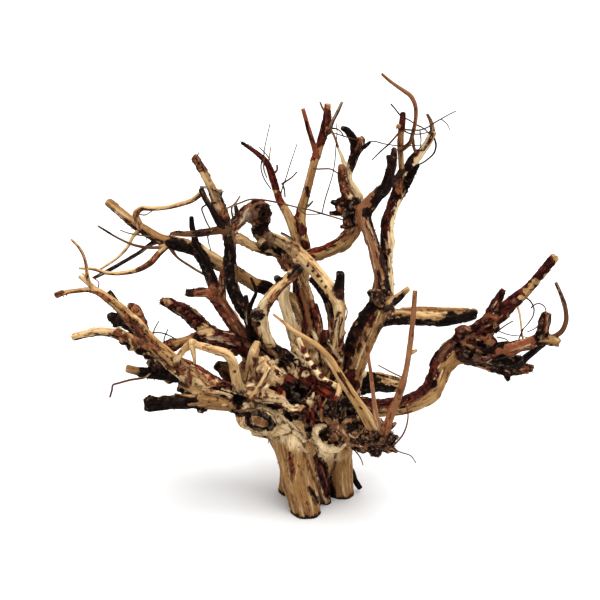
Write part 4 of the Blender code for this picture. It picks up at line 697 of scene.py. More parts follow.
# Patches by colour: the limbs that they lie on, and (across, down, radius) of each on the sheet. Later ones
# lie over earlier ones.
PATCHES = (
    ("black", "core, middle strand, right lobe, front lobe", (
        (318, 457, 5), (319, 463, 6.5), (321, 470, 7), (323.5, 477, 7), (326, 484, 7), (329, 491, 6.5),
        (332, 497, 5))),
    ("maroon", "core, middle strand, right lobe", (
        (319, 462, 4), (320.5, 469, 4.3), (322.5, 476, 4.3), (325, 483, 4), (327.5, 490, 3.4))),
    ("black", "front lobe, front left lobe", (
        (309, 489, 3), (312, 493, 3.6), (314.5, 498, 3.6), (316, 502, 3))),
    ("rust", "front lobe, left strand", (
        (290, 454, 2.4), (291, 459, 2.6), (292, 464, 2.6), (293, 469, 2.6), (293.5, 473, 2))),
    ("dark", "left strand", ((286, 456, 1.8), (287.5, 466, 1.8), (289.5, 478, 1.8), (291.5, 490, 2))),
    ("black", "eye stub, overhang, left shoulder, dark left stub, left arm, under arm bark", (
        (234, 412, 3), (238, 413, 3.4), (242, 413.5, 3.4), (246, 413.5, 3.4), (250, 413, 3.4),
        (254, 413, 3.2), (258, 413.5, 3), (262, 414.5, 3), (265.5, 416, 3), (269, 418.5, 3),
        (271.5, 421.5, 3), (272.5, 424.5, 3), (270.5, 427.5, 3), (267, 429, 2.8), (263, 429.6, 2.6),
        (259, 429, 2.6), (255, 428, 2.6), (251, 426.4, 2.6), (248.5, 423.5, 2.8), (247.5, 420, 3),
        (248, 416.5, 3))),
    ("hazel", "eye stub, overhang, left shoulder", (
        (255, 420.5, 3.4), (259, 421.5, 3.8), (263, 423, 3.8), (266, 424.5, 2.6))),
    ("cream", "left shoulder, core, pale ledge, left crown, overhang, eye stub, left arm", (
        (262, 408, 3.4), (254, 408, 3.4), (246, 407, 4), (238, 406, 4), (270, 412, 3.6), (278, 413, 4),
        (277, 419, 4), (256, 433, 3), (248, 430, 3), (265, 433, 3), (272, 402, 3), (258, 398, 4),
        (266, 396, 4), (262, 390, 4), (256, 384, 4), (276, 398, 4), (286, 404, 3.4), (294, 408, 3))),
    ("black", "left shoulder, core, pale ledge, left crown, pale swirl, eye stub", (
        (270, 405.5, 3), (274, 406.5, 3.4), (278, 407, 2.6), (285, 414, 4), (291, 416, 4.6),
        (298, 417, 4.6), (304, 414, 5), (306, 420, 5), (308, 428, 5), (309, 435, 3.6), (307, 441, 2.4),
        (296, 400, 8), (303, 394, 9), (291, 394, 8), (299, 386, 8), (306, 384, 6), (288, 386, 6),
        (311, 389, 5), (280, 398, 3), (264, 387, 3), (268, 389, 3))),
    ("maroon", "core, left crown, red bridge, cream strand, pale swirl, pale ledge", (
        (276, 389, 6), (281, 393, 5), (316, 392, 10), (324, 389, 9), (312, 402, 6), (309, 412, 7),
        (311, 419, 7), (316, 407, 6), (303, 372, 7), (309, 380, 7), (289, 378, 5))),
    ("black", "collar, burl neck, core", (
        (323, 434, 4.4), (326, 431, 4), (329, 429, 3.4), (325, 438, 4), (330, 443, 3), (336, 443, 3),
        (326, 414, 4), (322, 408, 4), (326, 402, 5), (330, 420, 3.6))),
    ("brown", "collar, burl neck", ((332, 435, 4.6), (333, 441, 3.4), (338, 436, 5))),
    ("red", "core, left crown, ridge, burl neck", (
        (318, 389, 6), (326, 393, 7), (334, 396, 6), (311, 412, 5), (312, 420, 4), (306, 373, 5),
        (300, 366, 4), (322, 404, 4), (281, 384, 5), (279, 391, 4), (313, 381, 4))),
    ("cream", "core, ridge", (
        (310, 400, 4.5), (300, 352, 4), (303, 362, 4), (305, 374, 4), (318, 356, 4), (324, 364, 4),
        (330, 352, 4), (296, 370, 4))),
    ("cream", "core, left shoulder, front lobe, left strand, collar", (
        (281, 421, 6), (288, 429, 7), (296, 436, 7), (302, 444, 6), (310, 449, 5), (320, 452, 6),
        (330, 454, 5), (342, 452, 5), (348, 449, 4), (276, 412, 5), (284, 436, 6), (292, 443, 6),
        (310, 399, 5))),
    ("black", "left shoulder, brown stub, under arm bark", ((241, 398, 7), (236, 403, 5), (229, 408, 5))),
    ("tan", "dark left stub", ((204, 401, 8), (214, 402, 9), (224, 402, 9))),
    ("cream", "left arm", ((179, 374, 6), (187, 380, 6), (195, 385, 6.5), (203, 389, 6), (213, 395, 5))),
    ("copper", "left arm", (
        (184, 364, 2.6), (191, 368, 2.6), (198, 373, 2.6), (205, 378, 2.6), (212, 384, 3), (190, 384, 1.8),
        (198, 389, 1.8), (205, 386, 1.8))),
    ("cream", "cross bar", ((262, 298, 6), (260, 308, 7), (262, 318, 7), (265, 328, 7), (268, 338, 6))),
    ("black", "cross bar", ((277, 277, 5), (252, 316, 5), (258, 324, 3))),
    ("maroon", "long diagonal, right pillar", (
        (337, 356, 6), (336, 366, 8), (338, 376, 8), (340, 386, 8), (346, 352, 5), (350, 374, 6),
        (348, 364, 6), (352, 386, 7))),
    ("black", "long diagonal, right pillar", ((342, 346, 4), (346, 358, 3), (344, 374, 3), (346, 392, 4))),
    ("black", "long diagonal", (
        (308, 266, 1.6), (313, 271, 1.6), (318, 276, 1.8), (322, 281, 1.8), (326, 287, 1.8))),
    ("cream", "pale ledge, left crown, core, left shoulder, tangle", (
        (259, 386, 3.4), (265, 390, 4), (271, 393, 4), (278, 396, 4), (284, 399.5, 3.6), (290, 403, 3.4),
        (297, 407, 3), (246, 404, 3), (254, 405, 3.4), (262, 405, 3), (268, 409, 3), (276, 414, 4))),
    ("cream", "long diagonal", ((338, 300, 4), (338, 308, 4), (338, 316, 4), (338, 324, 4), (338, 332, 4))),
    ("dark", "long stick, short stick", (
        (338, 373, 1.3), (339.2, 374.8, 1.4), (340.4, 376.6, 1.5), (341.6, 378.4, 1.5), (342.8, 380.2, 1.5),
        (344, 382, 1.5), (345.2, 383.8, 1.5), (346.4, 385.6, 1.5), (347.6, 387.4, 1.4), (348.8, 389.2, 1.4),
        (350, 391, 1.3), (351.2, 392.8, 1.3), (352.4, 394.6, 1.2), (353.6, 396.4, 1.1), (360, 406.5, 1.1),
        (361.4, 408.6, 1.1))),
    ("maroon", "cream strand, ridge, tangle, core", (
        (304, 350, 3.4), (308, 359, 3), (314, 367, 3.4), (321, 376, 3), (330, 383, 2.6))),
    ("straw", "arched loop", ((186, 348, 4), (198, 346, 4), (214, 350, 4), (231, 366, 4))),
    ("cream", "pale prong, black prong, burl prong", (
        (346, 166, 4), (348, 172, 4), (350, 179, 5), (353, 186, 5.4), (356, 193, 5.4), (352, 197, 4))),
    ("maroon", "left riser", ((403, 113, 4), (402.5, 118, 4), (402, 123, 4), (401.5, 128, 4))),
    ("brown", "hanging rootlet", ((157, 256, 5), (152, 261, 5), (147, 265, 5), (141, 268, 5))),
    ("cream", "far right limb, black side limb", (
        (404, 181, 3), (408, 174, 3.2), (412, 167, 3.2), (417, 160, 3.2), (421, 154, 3.2))),
    ("brown", "burl prong", ((341, 167, 4), (341, 174, 3.6), (342, 182, 3.6), (344, 190, 3.6))),
    ("black", "dark left stub", ((190, 403, 9), (178, 404, 9), (166, 405, 9), (154, 407, 9), (146, 407, 8))),
    ("tan", "middle left stub", ((128, 369, 6), (134, 370, 5))),
    ("black", "middle left stub", ((150, 373, 8), (162, 375, 8), (174, 377, 7))),
    ("tan", "red knotty limb", ((176, 342, 5), (184, 340, 4), (190, 338, 3))),
    ("brown", "red knotty limb", ((168, 347, 5), (184, 345, 4))),
    ("black", "red knotty limb", ((169, 348, 2), (197, 341, 5))),
    ("pale", "dark rough stub, red knotty limb", ((204, 329, 6), (199, 326, 4), (209, 331, 5))),
    ("tan", "dark rough stub", ((168, 302, 4), (166, 300, 3))),
    ("brown", "brown left knob, black left stubs", (
        (136, 310, 9), (140, 320, 8), (132, 306, 6), (143, 328, 5))),
    ("brown", "lower left limb, left arm, ridge", (
        (118, 334, 5), (127, 337, 6), (136, 341, 6), (146, 347, 6), (156, 353, 6), (165, 358, 5),
        (143, 334, 5), (151, 341, 4.5), (170, 366, 4), (180, 372, 5), (190, 379, 4))),
    ("black", "lower left limb", ((124, 344, 5), (131, 348, 5), (139, 353, 5), (148, 359, 6), (158, 366, 5))),
    ("black", "red fork left", ((188, 293, 5.5),)),
    ("hazel", "dark upright stem", ((211, 190, 5), (214, 197, 6), (218, 205, 5), (220, 212, 4))),
    ("maroon", "right arm", (
        (528, 284, 6.5), (536, 275, 6.5), (544, 267, 5.5), (519, 294, 7), (509, 307, 7), (500, 318, 7),
        (491, 328, 7), (483, 338, 7), (523, 290, 4))),
    ("black", "right arm", (
        (533, 287, 4), (518, 302, 4), (494, 333, 5), (470, 352, 6), (486, 343, 6), (478, 350, 6),
        (440, 372, 4), (434, 384, 4))),
    ("straw", "lower prong, prong knuckle", ((556, 341, 5), (549, 338, 6), (561, 340, 4), (541, 337, 5))),
    ("black", "upper left limb", ((266, 288, 8), (172, 243, 7), (181, 246, 7), (193, 249, 8), (202, 254, 5))),
    ("tan", "upper left limb", ((210, 257, 6), (225, 266, 8), (238, 273, 7), (250, 280, 7))),
    ("brown", "dark upright stem", ((223, 214, 5), (201, 168, 4), (196, 159, 4))),
    ("tan", "dark upright stem", ((210, 186, 5), (214, 192, 5.5), (216, 200, 5), (217, 208, 4))),
    ("pale", "upper left limb", ((205, 251, 5), (211, 256, 5.5), (217, 260, 5.5), (222, 264, 4.5))),
    ("grey", "gnarled arch, ridge, tangle", (
        (246, 215, 4.4), (252, 213, 3.4), (250, 219, 3.6), (243, 220, 3), (256, 237, 3), (262, 241, 3),
        (280, 262, 3))),
    ("maroon", "forked stem", (
        (241, 142, 4), (245, 145, 4), (250, 149, 4), (254, 152, 4), (258, 155, 4), (263, 159, 4.4),
        (267, 163, 5), (270, 170, 5), (273, 178, 5), (276, 186, 4.4), (279, 195, 4))),
    ("pale", "dark upright stem", ((208, 181, 6), (204, 176, 5))),
    ("dark", "gnarled arch, arch knot", (
        (257, 206, 6), (264, 212, 7), (262, 222, 6), (258, 229, 6), (268, 238, 6))),
    ("black", "pale wedge, wedge knot, cross knots", (
        (265, 246, 5), (271, 253, 5), (278, 247, 4), (284, 251, 3))),
    ("black", "diagonal stub, long diagonal", ((340, 275, 6), (340, 282, 6), (339.5, 287, 3))),
    ("dark", "long diagonal", ((327, 297, 3), (322, 292, 3), (316, 287, 3), (311, 281, 3), (306, 276, 3))),
    ("black", "cross bar", ((297, 270, 6), (301, 267, 5), (291, 276, 4))),
    ("tan", "tall stem", ((307, 182, 9), (310, 170, 9), (305, 196, 8), (303, 206, 6))),
    ("black", "tall stem", ((307, 188, 2.4), (307.5, 192, 2.4), (308, 196, 2))),
    ("maroon", "tall stem", ((322, 140, 6), (325, 128, 6), (327, 116, 6), (302, 230, 6), (305, 246, 6))),
    ("red", "forked stem", ((272, 178, 5), (269, 168, 5), (280, 202, 4))),
    ("black", "upright fork", (
        (366, 212, 5), (376, 201, 6), (384, 193, 7), (388, 184, 7), (380, 192, 6), (386, 177, 5),
        (372, 214, 4), (386, 284, 4), (387, 292, 4))),
    ("dark", "upright fork", ((388, 172, 6), (391, 162, 6), (393, 152, 5))),
    ("black", "far right limb", (
        (383, 236, 4), (382, 246, 4), (384, 256, 4), (384, 262, 3), (403, 182, 5), (397, 196, 4),
        (408, 168, 5))),
    ("black", "pillar stub", ((396, 301, 3), (402, 297, 2.6))),
    ("black", "right pillar", (
        (352, 350, 5), (355, 340, 5), (360, 330, 6), (365, 320, 6), (368, 312, 6), (372, 305, 5),
        (380, 305, 5), (374, 300, 4))),
    ("tan", "right pillar", ((364, 345, 5), (370, 332, 4), (358, 360, 5), (376, 320, 4))),
    ("maroon", "right pillar", ((368, 324, 4), (362, 334, 4), (358, 346, 4), (366, 340, 2.6), (372, 318, 4))),
    ("black", "burl neck, burl upper, tangle, ridge, right shoulder", (
        (345, 404, 6), (352, 408, 5.4), (341, 411, 5), (350, 415, 4), (358, 404, 4))),
    ("hazel", "burl neck, collar, burl left, tangle", (
        (335, 424, 4.4), (341, 431, 5), (335, 437, 4), (328, 421, 4), (346, 438, 4))),
    ("maroon", "left arm, brown stub, under arm bark", (
        (226, 386, 5), (232, 392, 5), (223, 393, 4), (238, 388, 4), (228, 378, 4))),
    ("pale", "level limb", ((418, 315, 4.4), (425, 315, 5), (432, 316, 5), (439, 315, 4.4), (445, 314, 3))),
    ("black", "level limb", (
        (452, 318, 6), (462, 318, 5), (445, 323, 5), (430, 324, 5), (416, 324, 5), (402, 322, 4),
        (470, 315, 5))),
    ("black", "rear stub", ((362, 382, 8), (369, 384, 7), (378, 388, 5), (390, 390, 4))),
    ("tan", "right arm", ((446, 372, 8), (453, 364, 8), (460, 357, 7), (440, 392, 6))),
    ("maroon", "right arm", (
        (470, 336, 9), (478, 332, 8), (486, 326, 8), (459, 340, 8), (495, 315, 7), (504, 307, 6),
        (513, 301, 6), (466, 345, 8), (550, 263, 5), (545, 269, 5), (540, 275, 4.4))),
    ("olive", "right arm", ((556, 255, 4.2),)),
    ("straw", "right arm", ((535, 281, 3.4), (531, 286, 3.4), (526, 291, 3.4), (521, 297, 3))),
    ("black", "lower prong, prong web, rear prong", (
        (498, 357, 6), (508, 362, 5), (518, 360, 4), (486, 350, 6))),
    ("copper", "lower prong, tangle, ridge", ((510, 349, 6), (520, 346, 6), (530, 341, 5), (500, 351, 4))),
)


class DriftwoodSettings(bpy.types.PropertyGroup):
    """Sizes that set how fine and how rough the wood is"""

    grain_cell: FloatProperty(
        name="Skin cell", description="Size of the cells that the limbs are fused in",
        default=0.0011, min=0.0006, max=0.004, unit="LENGTH", precision=4)
    flute_depth: FloatProperty(
        name="Flute depth", description="Depth of the long flutes, as a share of a limb's radius",
        default=0.16, min=0, max=0.5, subtype="FACTOR")
    fibre_depth: FloatProperty(
        name="Fibre depth", description="Depth of the fine grooves that run along the grain",
        default=0.0004, min=0, max=0.002, unit="LENGTH", precision=4)
    bark_thickness: FloatProperty(
        name="Bark thickness", description="How far bark stands out of the bare wood",
        default=0.0009, min=0, max=0.004, unit="LENGTH", precision=4)
    flake_count: IntProperty(
        name="Bark flakes", description="How many loose flakes of bark stand on the limbs",
        default=4200, min=0, max=8000)
    twig_limit: FloatProperty(
        name="Twig limit", description="Limbs thinner than this all along are made as separate twigs",
        default=0.0075, min=0.001, max=0.02, unit="LENGTH", precision=4)
    skin_faces: IntProperty(
        name="Skin triangles", description="Most triangles that the fused skin keeps",
        default=196000, min=20000, max=199000)
    streak_colour: FloatVectorProperty(
        name="Streaks", description="Colour of the streaks along the grain of bare wood",
        default=(0.17, 0.065, 0.026), min=0, max=1, subtype="COLOR")
    # Partly wear and partly painted highlight on the bark where the skin stands out.
    edge_wear_and_highlight_colour: FloatVectorProperty(
        name="Worn edges", description="Colour of bark where its edges are rubbed",
        default=(0.34, 0.16, 0.075), min=0, max=1, subtype="COLOR")
    # Black of the bark's cracks and pits, also painted as shade in its hollows.
    crack_and_shade_colour: FloatVectorProperty(
        name="Hollows", description="Colour deep in the cracks and hollows of the bark",
        default=(0.003, 0.0012, 0.001), min=0, max=1, subtype="COLOR")
    floor_colour: FloatVectorProperty(
        name="Floor", description="Colour of the floor",
        default=(0.73, 0.73, 0.73), min=0, max=1, subtype="COLOR")


# Laying out places on the sheet and in space

def sheet_point(across, down):
    """The place on the sheet, which leans back as the viewer looks down on it."""
    rise = FOOT_MIDDLE[1] - down
    return Vector((across - FOOT_MIDDLE[0], rise * math.sin(VIEW_SLOPE), rise * math.cos(VIEW_SLOPE)))


AHEAD = np.array((0, math.cos(VIEW_SLOPE), -math.sin(VIEW_SLOPE)))
VIEWER = sheet_point(*SHEET_MIDDLE) - VIEW_DISTANCE * Vector(AHEAD)
SHEET_RIGHT = np.array((1, 0, 0))
SHEET_UP = np.array((0, math.sin(VIEW_SLOPE), math.cos(VIEW_SLOPE)))


def sight(across, down, back, thickness):
    """Follow the line of sight to a depth; gives the place and the true thickness there, in millimetres."""
    ray = sheet_point(across, down) - VIEWER
    reach = (back - VIEWER.y) / ray.y
    return (*(VIEWER + reach * ray), thickness * reach)


def seen_at(places):
    """Where places in space are seen on the sheet, as columns of across and down."""
    rays = places - np.array(VIEWER)
    rays = rays * (VIEW_DISTANCE / (rays @ AHEAD))[:, None]
    return np.column_stack((rays @ SHEET_RIGHT + SHEET_MIDDLE[0], SHEET_MIDDLE[1] - rays @ SHEET_UP))


# Waves of smooth noise by name: how long they are in millimetres, the same all ways or else twice across the
# limb and then along it, and which noise they are taken from. Those of the flutes are in shares of the radius
# across, and along in their own length.
WAVES = {
    "spread of bark": ((9, 9, 26), 1),
    "ragged edge of bark": ((3.5, 3.5, 9), 2),
    "flutes": ((0.75, 0.75, 1), 3),
    "fibres": ((2.6, 2.6, 30), 4),
    "fine fibres": ((1.6, 1.6, 14), 5),
    "lumps": (7, 6),
    "small lumps": (3.4, 7),
    "pits": (4.2, 8),
    "crumbs": ((3.2, 3.2, 5), 9),
    "cracks": ((5, 5, 60), 10),
    "cracked parts": ((12, 12, 40), 11),
    "ragged patch": (4, 12),
    "finely ragged patch": (1.8, 13),
    "small crumbs": (1.9, 14),
}
NOISE_APART = 17.3


def ripple(places, name):
    """Smooth noise from -1 to 1 in waves of the named length."""
    wave, order = WAVES[name]
    points = (places / np.array(wave) + NOISE_APART * order).tolist()
    return np.fromiter((noise.noise(point) for point in points), float, len(points))


def ease(values, low, high):
    """From 0 below low to 1 above high, with soft ends."""
    share = np.clip((values - low) / (high - low), 0, 1)
    return share * share * (3 - 2 * share)


def colour(name):
    """A named colour in linear light."""
    channels = np.array(COLOURS[name]) / 255
    return np.where(channels <= 0.04045, channels / 12.92, ((channels + 0.055) / 1.055) ** 2.4)


# A limb's line: from place to place and its least thickness, both in millimetres, and the direction that its
# first sideways direction stands square to.
PATH_STEP = 2.0
THINNEST = 0.8
FIRST_SIDE = (0.3, 1, 0.2)
PLACES_AT_A_TIME = 20000


class Limb:
    """A limb's smooth middle line, with its thickness, its own directions and its coat."""

    def __init__(self, name, route, coat, order):
        stops = np.array([sight(*stop) for stop in route])
        if len(stops) == 1:
            stops = np.vstack((stops, stops + (0, 0, 0.01, 0)))
        run = np.concatenate(((0,), np.cumsum(np.linalg.norm(np.diff(stops[:, :3], axis=0), axis=1))))
        slopes = np.gradient(stops, run, axis=0, edge_order=1)
        self.along = np.linspace(0, run[-1], max(2, round(run[-1] / PATH_STEP) + 1))
        part = np.clip(np.searchsorted(run, self.along, side="right") - 1, 0, len(run) - 2)
        span = (run[part + 1] - run[part])[:, None]
        t = ((self.along - run[part])[:, None]) / span
        path = ((2 * t**3 - 3 * t**2 + 1) * stops[part] + (t**3 - 2 * t**2 + t) * span * slopes[part]
                + (3 * t**2 - 2 * t**3) * stops[part + 1] + (t**3 - t**2) * span * slopes[part + 1])
        self.name = name
        self.order = order
        self.coat = coat
        self.places = path[:, :3]
        self.radii = np.maximum(path[:, 3], THINNEST) / 2
        heading = np.gradient(self.places, axis=0)
        self.heading = heading / np.linalg.norm(heading, axis=1)[:, None]
        self.set_directions()

    def set_directions(self):
        """Carry a sideways direction along the limb with no twist, so that grain runs straight."""
        first = np.cross(self.heading[0], FIRST_SIDE)
        across = [first / np.linalg.norm(first)]
        for heading in self.heading[1:]:
            turned = across[-1] - heading * (across[-1] @ heading)
            across.append(turned / np.linalg.norm(turned))
        self.across = np.array(across)
        self.lift = np.cross(self.heading, self.across)

    def is_twig(self, limit):
        """Whether the limb is thinner than the limit, its root apart."""
        past_root = len(self.radii) // 5
        return len(self.radii) > 2 and 2 * self.radii[past_root:].max() < limit

    def local(self, places):
        """How far places lie out of the skin, and their coordinates straightened along the limb."""
        nearest = np.empty(len(places), int)
        depth = np.empty(len(places))
        for start in range(0, len(places), PLACES_AT_A_TIME):
            some = slice(start, start + PLACES_AT_A_TIME)
            gap = np.linalg.norm(places[some, None] - self.places[None], axis=2) - self.radii
            nearest[some] = gap.argmin(axis=1)
            depth[some] = gap.min(axis=1)
        offset = places - self.places[nearest]
        straight = np.column_stack((
            (offset * self.across[nearest]).sum(axis=1),
            (offset * self.lift[nearest]).sum(axis=1),
            self.along[nearest] + (offset * self.heading[nearest]).sum(axis=1)))
        return depth, straight, self.radii[nearest]


def plan_limbs():
    """Every limb and swelling, in the order of the tables."""
    coats = {name.strip(): coat[:5] for coat in COATS for name in coat[5].split(",")}
    routes = {}
    for group in (TRUNK, LEFT_SIDE, CENTRE, RIGHT_SIDE, FRONT_BURL, CROWN, FAR_SIDE):
        routes.update(group)
    routes.update({name: (spot,) for name, spot in LUMPS.items()})
    return [Limb(name, route, coats[name], order) for order, (name, route) in enumerate(routes.items())]


def thick_or_thin(settings, thin):
    """The limbs that are made as twigs, or else all the others."""
    return [limb for limb in plan_limbs() if limb.is_twig(settings.twig_limit / MILLIMETRE) == thin]


# The search for the skin along a line of sight that misses it, in steps of which 500 make a metre.
STEPS_TO_METRE = 500
SEARCHED_STEPS = range(520, 680)


def depth_on(skin, across, down):
    """How far back the line of sight through a place meets the skin, or else passes nearest to it."""
    start = VIEWER * MILLIMETRE
    ray = (sheet_point(across, down) * MILLIMETRE - start).normalized()
    met, spot, _, _ = skin.ray_cast(start, ray)
    if not met:
        passed = [start + ray * step / STEPS_TO_METRE for step in SEARCHED_STEPS]
        spot = min(passed, key=lambda place: (skin.closest_point_on_mesh(place)[1] - place).length)
    return spot.y / MILLIMETRE


def lay_on(skin, width, places, sink):
    """The places as stops that follow the skin, sunk in it by a share of their width."""
    return [(*place, depth_on(skin, *place) + sink * width, width) for place in places]


TANGLE_SEED, STRIP_SEED, FLAKE_SEED = 5, 3, 11
# Strands of a tangle: from stop to stop in millimetres, how uneven their headings are in degrees, the most
# that they bend at a stop in radians, and the least jump in depth that drops one, in millimetres.
STRAND_STEP = 4
HEADING_SPREAD = 24
MOST_BEND = 0.09
LARGEST_JUMP = 4
# The share that bark covers on a bare strand or strip and on a barked one, and how gnarled both are.
BARE, BARKED = 0.1, 0.9
FINE_GNARL = 0.3


def plan_tangles(skin):
    """Fine strands that cross one another on the skin, in many tones."""
    chance = random.Random(TANGLE_SEED)
    strands = []
    for across, down, reach, count, heading, pairs in TANGLES:
        for _ in range(count):
            angle = math.radians(heading + chance.gauss(0, HEADING_SPREAD))
            bend = chance.uniform(-MOST_BEND, MOST_BEND)
            places = [(across + chance.uniform(-reach, reach), down + chance.uniform(-reach, reach))]
            for _ in range(chance.randint(3, 6)):
                right, low = places[-1]
                places.append((right + STRAND_STEP * math.cos(angle), low - STRAND_STEP * math.sin(angle)))
                angle += bend
            width = chance.uniform(2.0, 3.6)
            route = lay_on(skin, width, places, SINK["tangle"])
            if lies_close(skin, route):
                coat = (*chance.choice(pairs), chance.choice((BARE, BARKED)), None, FINE_GNARL)
                strands.append(Limb("tangle", route, coat, len(strands)))
    return strands


def lies_close(skin, route):
    """Whether a route stays on the skin, with no stop in the air and no jump in depth between stops."""
    spots = [Vector(sight(*stop)[:3]) * MILLIMETRE for stop in route]
    gaps = [(skin.closest_point_on_mesh(spot)[1] - spot).length for spot in spots]
    jumps = [abs(one[2] - two[2]) for one, two in zip(route, route[1:])]
    return max(gaps) < route[0][3] * MILLIMETRE and max(jumps) < LARGEST_JUMP


# Strips: how few there are, the most gnarl that calls for more of them, and how far they stand out.
STRIP_SPACING = 26
MOST_GNARL = 0.9
STRIP_RISE = 0.2


def plan_strips(limbs):
    """Strips of grain that stand out along the thicker limbs, some bare and some with bark."""
    chance = random.Random(STRIP_SEED)
    strips = []
    for limb in limbs:
        steps = len(limb.places)
        wanted = steps * limb.radii.mean() * min(limb.coat[4], MOST_GNARL) / STRIP_SPACING
        for _ in range(round(wanted) if steps > 5 else 0):
            start = chance.randrange(steps - 4)
            part = slice(start, start + chance.randint(4, 12))
            angle = chance.uniform(0, 2 * math.pi)
            out = limb.across[part] * math.cos(angle) + limb.lift[part] * math.sin(angle)
            places = limb.places[part] + out * (limb.radii[part] + STRIP_RISE)[:, None]
            width = chance.uniform(1.8, 3.0)
            route = [(*seen, back, width)
                     for seen, back in zip(seen_at(places).tolist(), places[:, 1].tolist())]
            bark = BARKED if chance.random() < 0.15 + limb.coat[2] * 0.7 else BARE
            strips.append(Limb(limb.name, route, (*limb.coat[:2], bark, None, FINE_GNARL), len(strips)))
    return strips


def plan_rootlets():
    """The hair rootlets, each following its places on the sheet while its depth and thickness change."""
    limbs = []
    for tone, strands in ROOTLETS.items():
        for start, end, thick, tip, places in strands:
            shares = np.linspace(0, 1, len(places)).tolist()
            route = [(*place, start + share * (end - start), thick + share * (tip - thick))
                     for place, share in zip(places, shares)]
            limbs.append(Limb("rootlet", route, (tone, "dark", 0.25, None, 0.1), len(limbs)))
    return limbs


# Making and fusing the limbs

def choose(*things):
    bpy.ops.object.select_all(action="DESELECT")
    for thing in things:
        thing.select_set(True)
    bpy.context.view_layer.objects.active = things[0]


def make_tubes(name, limbs, facets):
    """One mesh of a round tube for each limb, closed at both ends."""
    curve = bpy.data.curves.new(name, "CURVE")
    curve.dimensions = "3D"
    curve.bevel_depth = 1
    curve.bevel_resolution = facets
    curve.use_fill_caps = True
    for limb in limbs:
        spline = curve.splines.new("POLY")
        spline.points.add(len(limb.places) - 1)
        places = np.column_stack((limb.places * MILLIMETRE, np.ones(len(limb.places))))
        spline.points.foreach_set("co", places.ravel())
        spline.points.foreach_set("radius", limb.radii * MILLIMETRE)
    piece = bpy.data.objects.new(name, curve)
    bpy.context.scene.collection.objects.link(piece)
    choose(piece)
    bpy.ops.object.convert(target="MESH")
    return bpy.context.object


@contextmanager
def editing():
    """Everything selected in edit mode for a while."""
    bpy.ops.object.mode_set(mode="EDIT")
    bpy.ops.mesh.select_all(action="SELECT")
    yield
    bpy.ops.object.mode_set(mode="OBJECT")


def close_tubes():
    """Join the caps of new tubes to their walls and turn the faces outwards."""
    with editing():
        bpy.ops.mesh.remove_doubles(threshold=0.00001)
        bpy.ops.mesh.normals_make_consistent(inside=False)


def make_balls(spots):
    """A ball for each (across, down, back, diameter)."""
    balls = []
    for spot in spots:
        *place, diameter = sight(*spot)
        bpy.ops.mesh.primitive_ico_sphere_add(
            subdivisions=3, radius=diameter / 2 * MILLIMETRE, location=[side * MILLIMETRE for side in place])
        balls.append(bpy.context.object)
    return balls


def finish_with(piece, kind, **settings):
    """Add a modifier with its settings and apply it."""
    choose(piece)
    bpy.ops.object.modifier_add(type=kind)
    modifier = piece.modifiers[-1]
    for name, value in settings.items():
        setattr(modifier, name, value)
    bpy.ops.object.modifier_apply(modifier=modifier.name)


def join(name, pieces):
    choose(*pieces)
    bpy.ops.object.join()
    joined = bpy.context.object
    joined.name = joined.data.name = name
    bpy.ops.object.transform_apply(location=True, rotation=True, scale=True)
    return joined


def saw_foot(piece):
    """Saw the trunk flat at z = 0 and close the cut."""
    choose(piece)
    with editing():
        bpy.ops.mesh.bisect(plane_co=(0, 0, 0), plane_no=(0, 0, 1), use_fill=True, clear_inner=True)


# How deep things laid on the skin are sunk in it, as a share of their width.
SINK = {"ridge": 0.28, "tangle": 0.12, "furrow": 0, "rot": 0.1, "knob": 0.15}
# How round tubes are: Blender's bevel resolution, which is the more facets the higher it is.
LIMB_FACETS, STRAND_FACETS, ROOTLET_FACETS = 10, 4, 2


def fuse_skin(limbs, cell):
    """One closed skin round all the thick limbs, with the hollows and grooves cut in it."""

    def laid(kind, width, *places):
        return lay_on(skin, width, places, SINK[kind])

    def fuse(name, pieces):
        fused = join(name, pieces)
        finish_with(fused, "REMESH", mode="VOXEL", voxel_size=cell)
        return fused

    tubes = make_tubes("wood_skin", [limb for limb in limbs if len(limb.places) > 2], LIMB_FACETS)
    skin = fuse("wood_skin", [tubes, *make_balls(LUMPS.values())])
    strands = [Limb("ridge", laid("ridge", width, *places), (*tones, 0.25, None, 0.4), width + places[0][0])
               for tones, lines in RIDGES.items() for width, places in lines]
    strands += plan_tangles(skin) + plan_strips(limbs)
    grooves = [Limb("furrow", laid("furrow", width, *places), None, 0) for width, places in FURROWS]
    grooves += [Limb(name, route, None, 0) for name, route in GROOVES.items()]
    rot = [stop for *place, width in ROT for stop in laid("rot", width, place)]
    knobs = [stop for *place, width in KNOBS for stop in laid("knob", width, place)]
    skin = fuse("wood_skin", [skin, make_tubes("strands", strands, STRAND_FACETS), *make_balls(knobs)])
    holes = make_balls((*HOLLOWS.values(), *rot))
    cutter = fuse("hollows", [make_tubes("hollows", grooves, STRAND_FACETS), *holes])
    finish_with(skin, "BOOLEAN", operation="DIFFERENCE", object=cutter, solver="MANIFOLD")
    bpy.data.objects.remove(cutter)
    finish_with(skin, "REMESH", mode="VOXEL", voxel_size=cell)
    return skin, strands


# Reading and writing the places of a mesh, in millimetres

def mesh_values(piece, name):
    """The places or normals of a mesh's points, as rows."""
    values = np.empty(3 * len(piece.data.vertices), np.float32)
    piece.data.vertices.foreach_get(name, values)
    return values.reshape(-1, 3).astype(float)


def mesh_places(piece):
    return mesh_values(piece, "co") / MILLIMETRE


def put_places(piece, places):
    piece.data.vertices.foreach_set("co", (places * MILLIMETRE).astype(np.float32).ravel())
    piece.data.update()


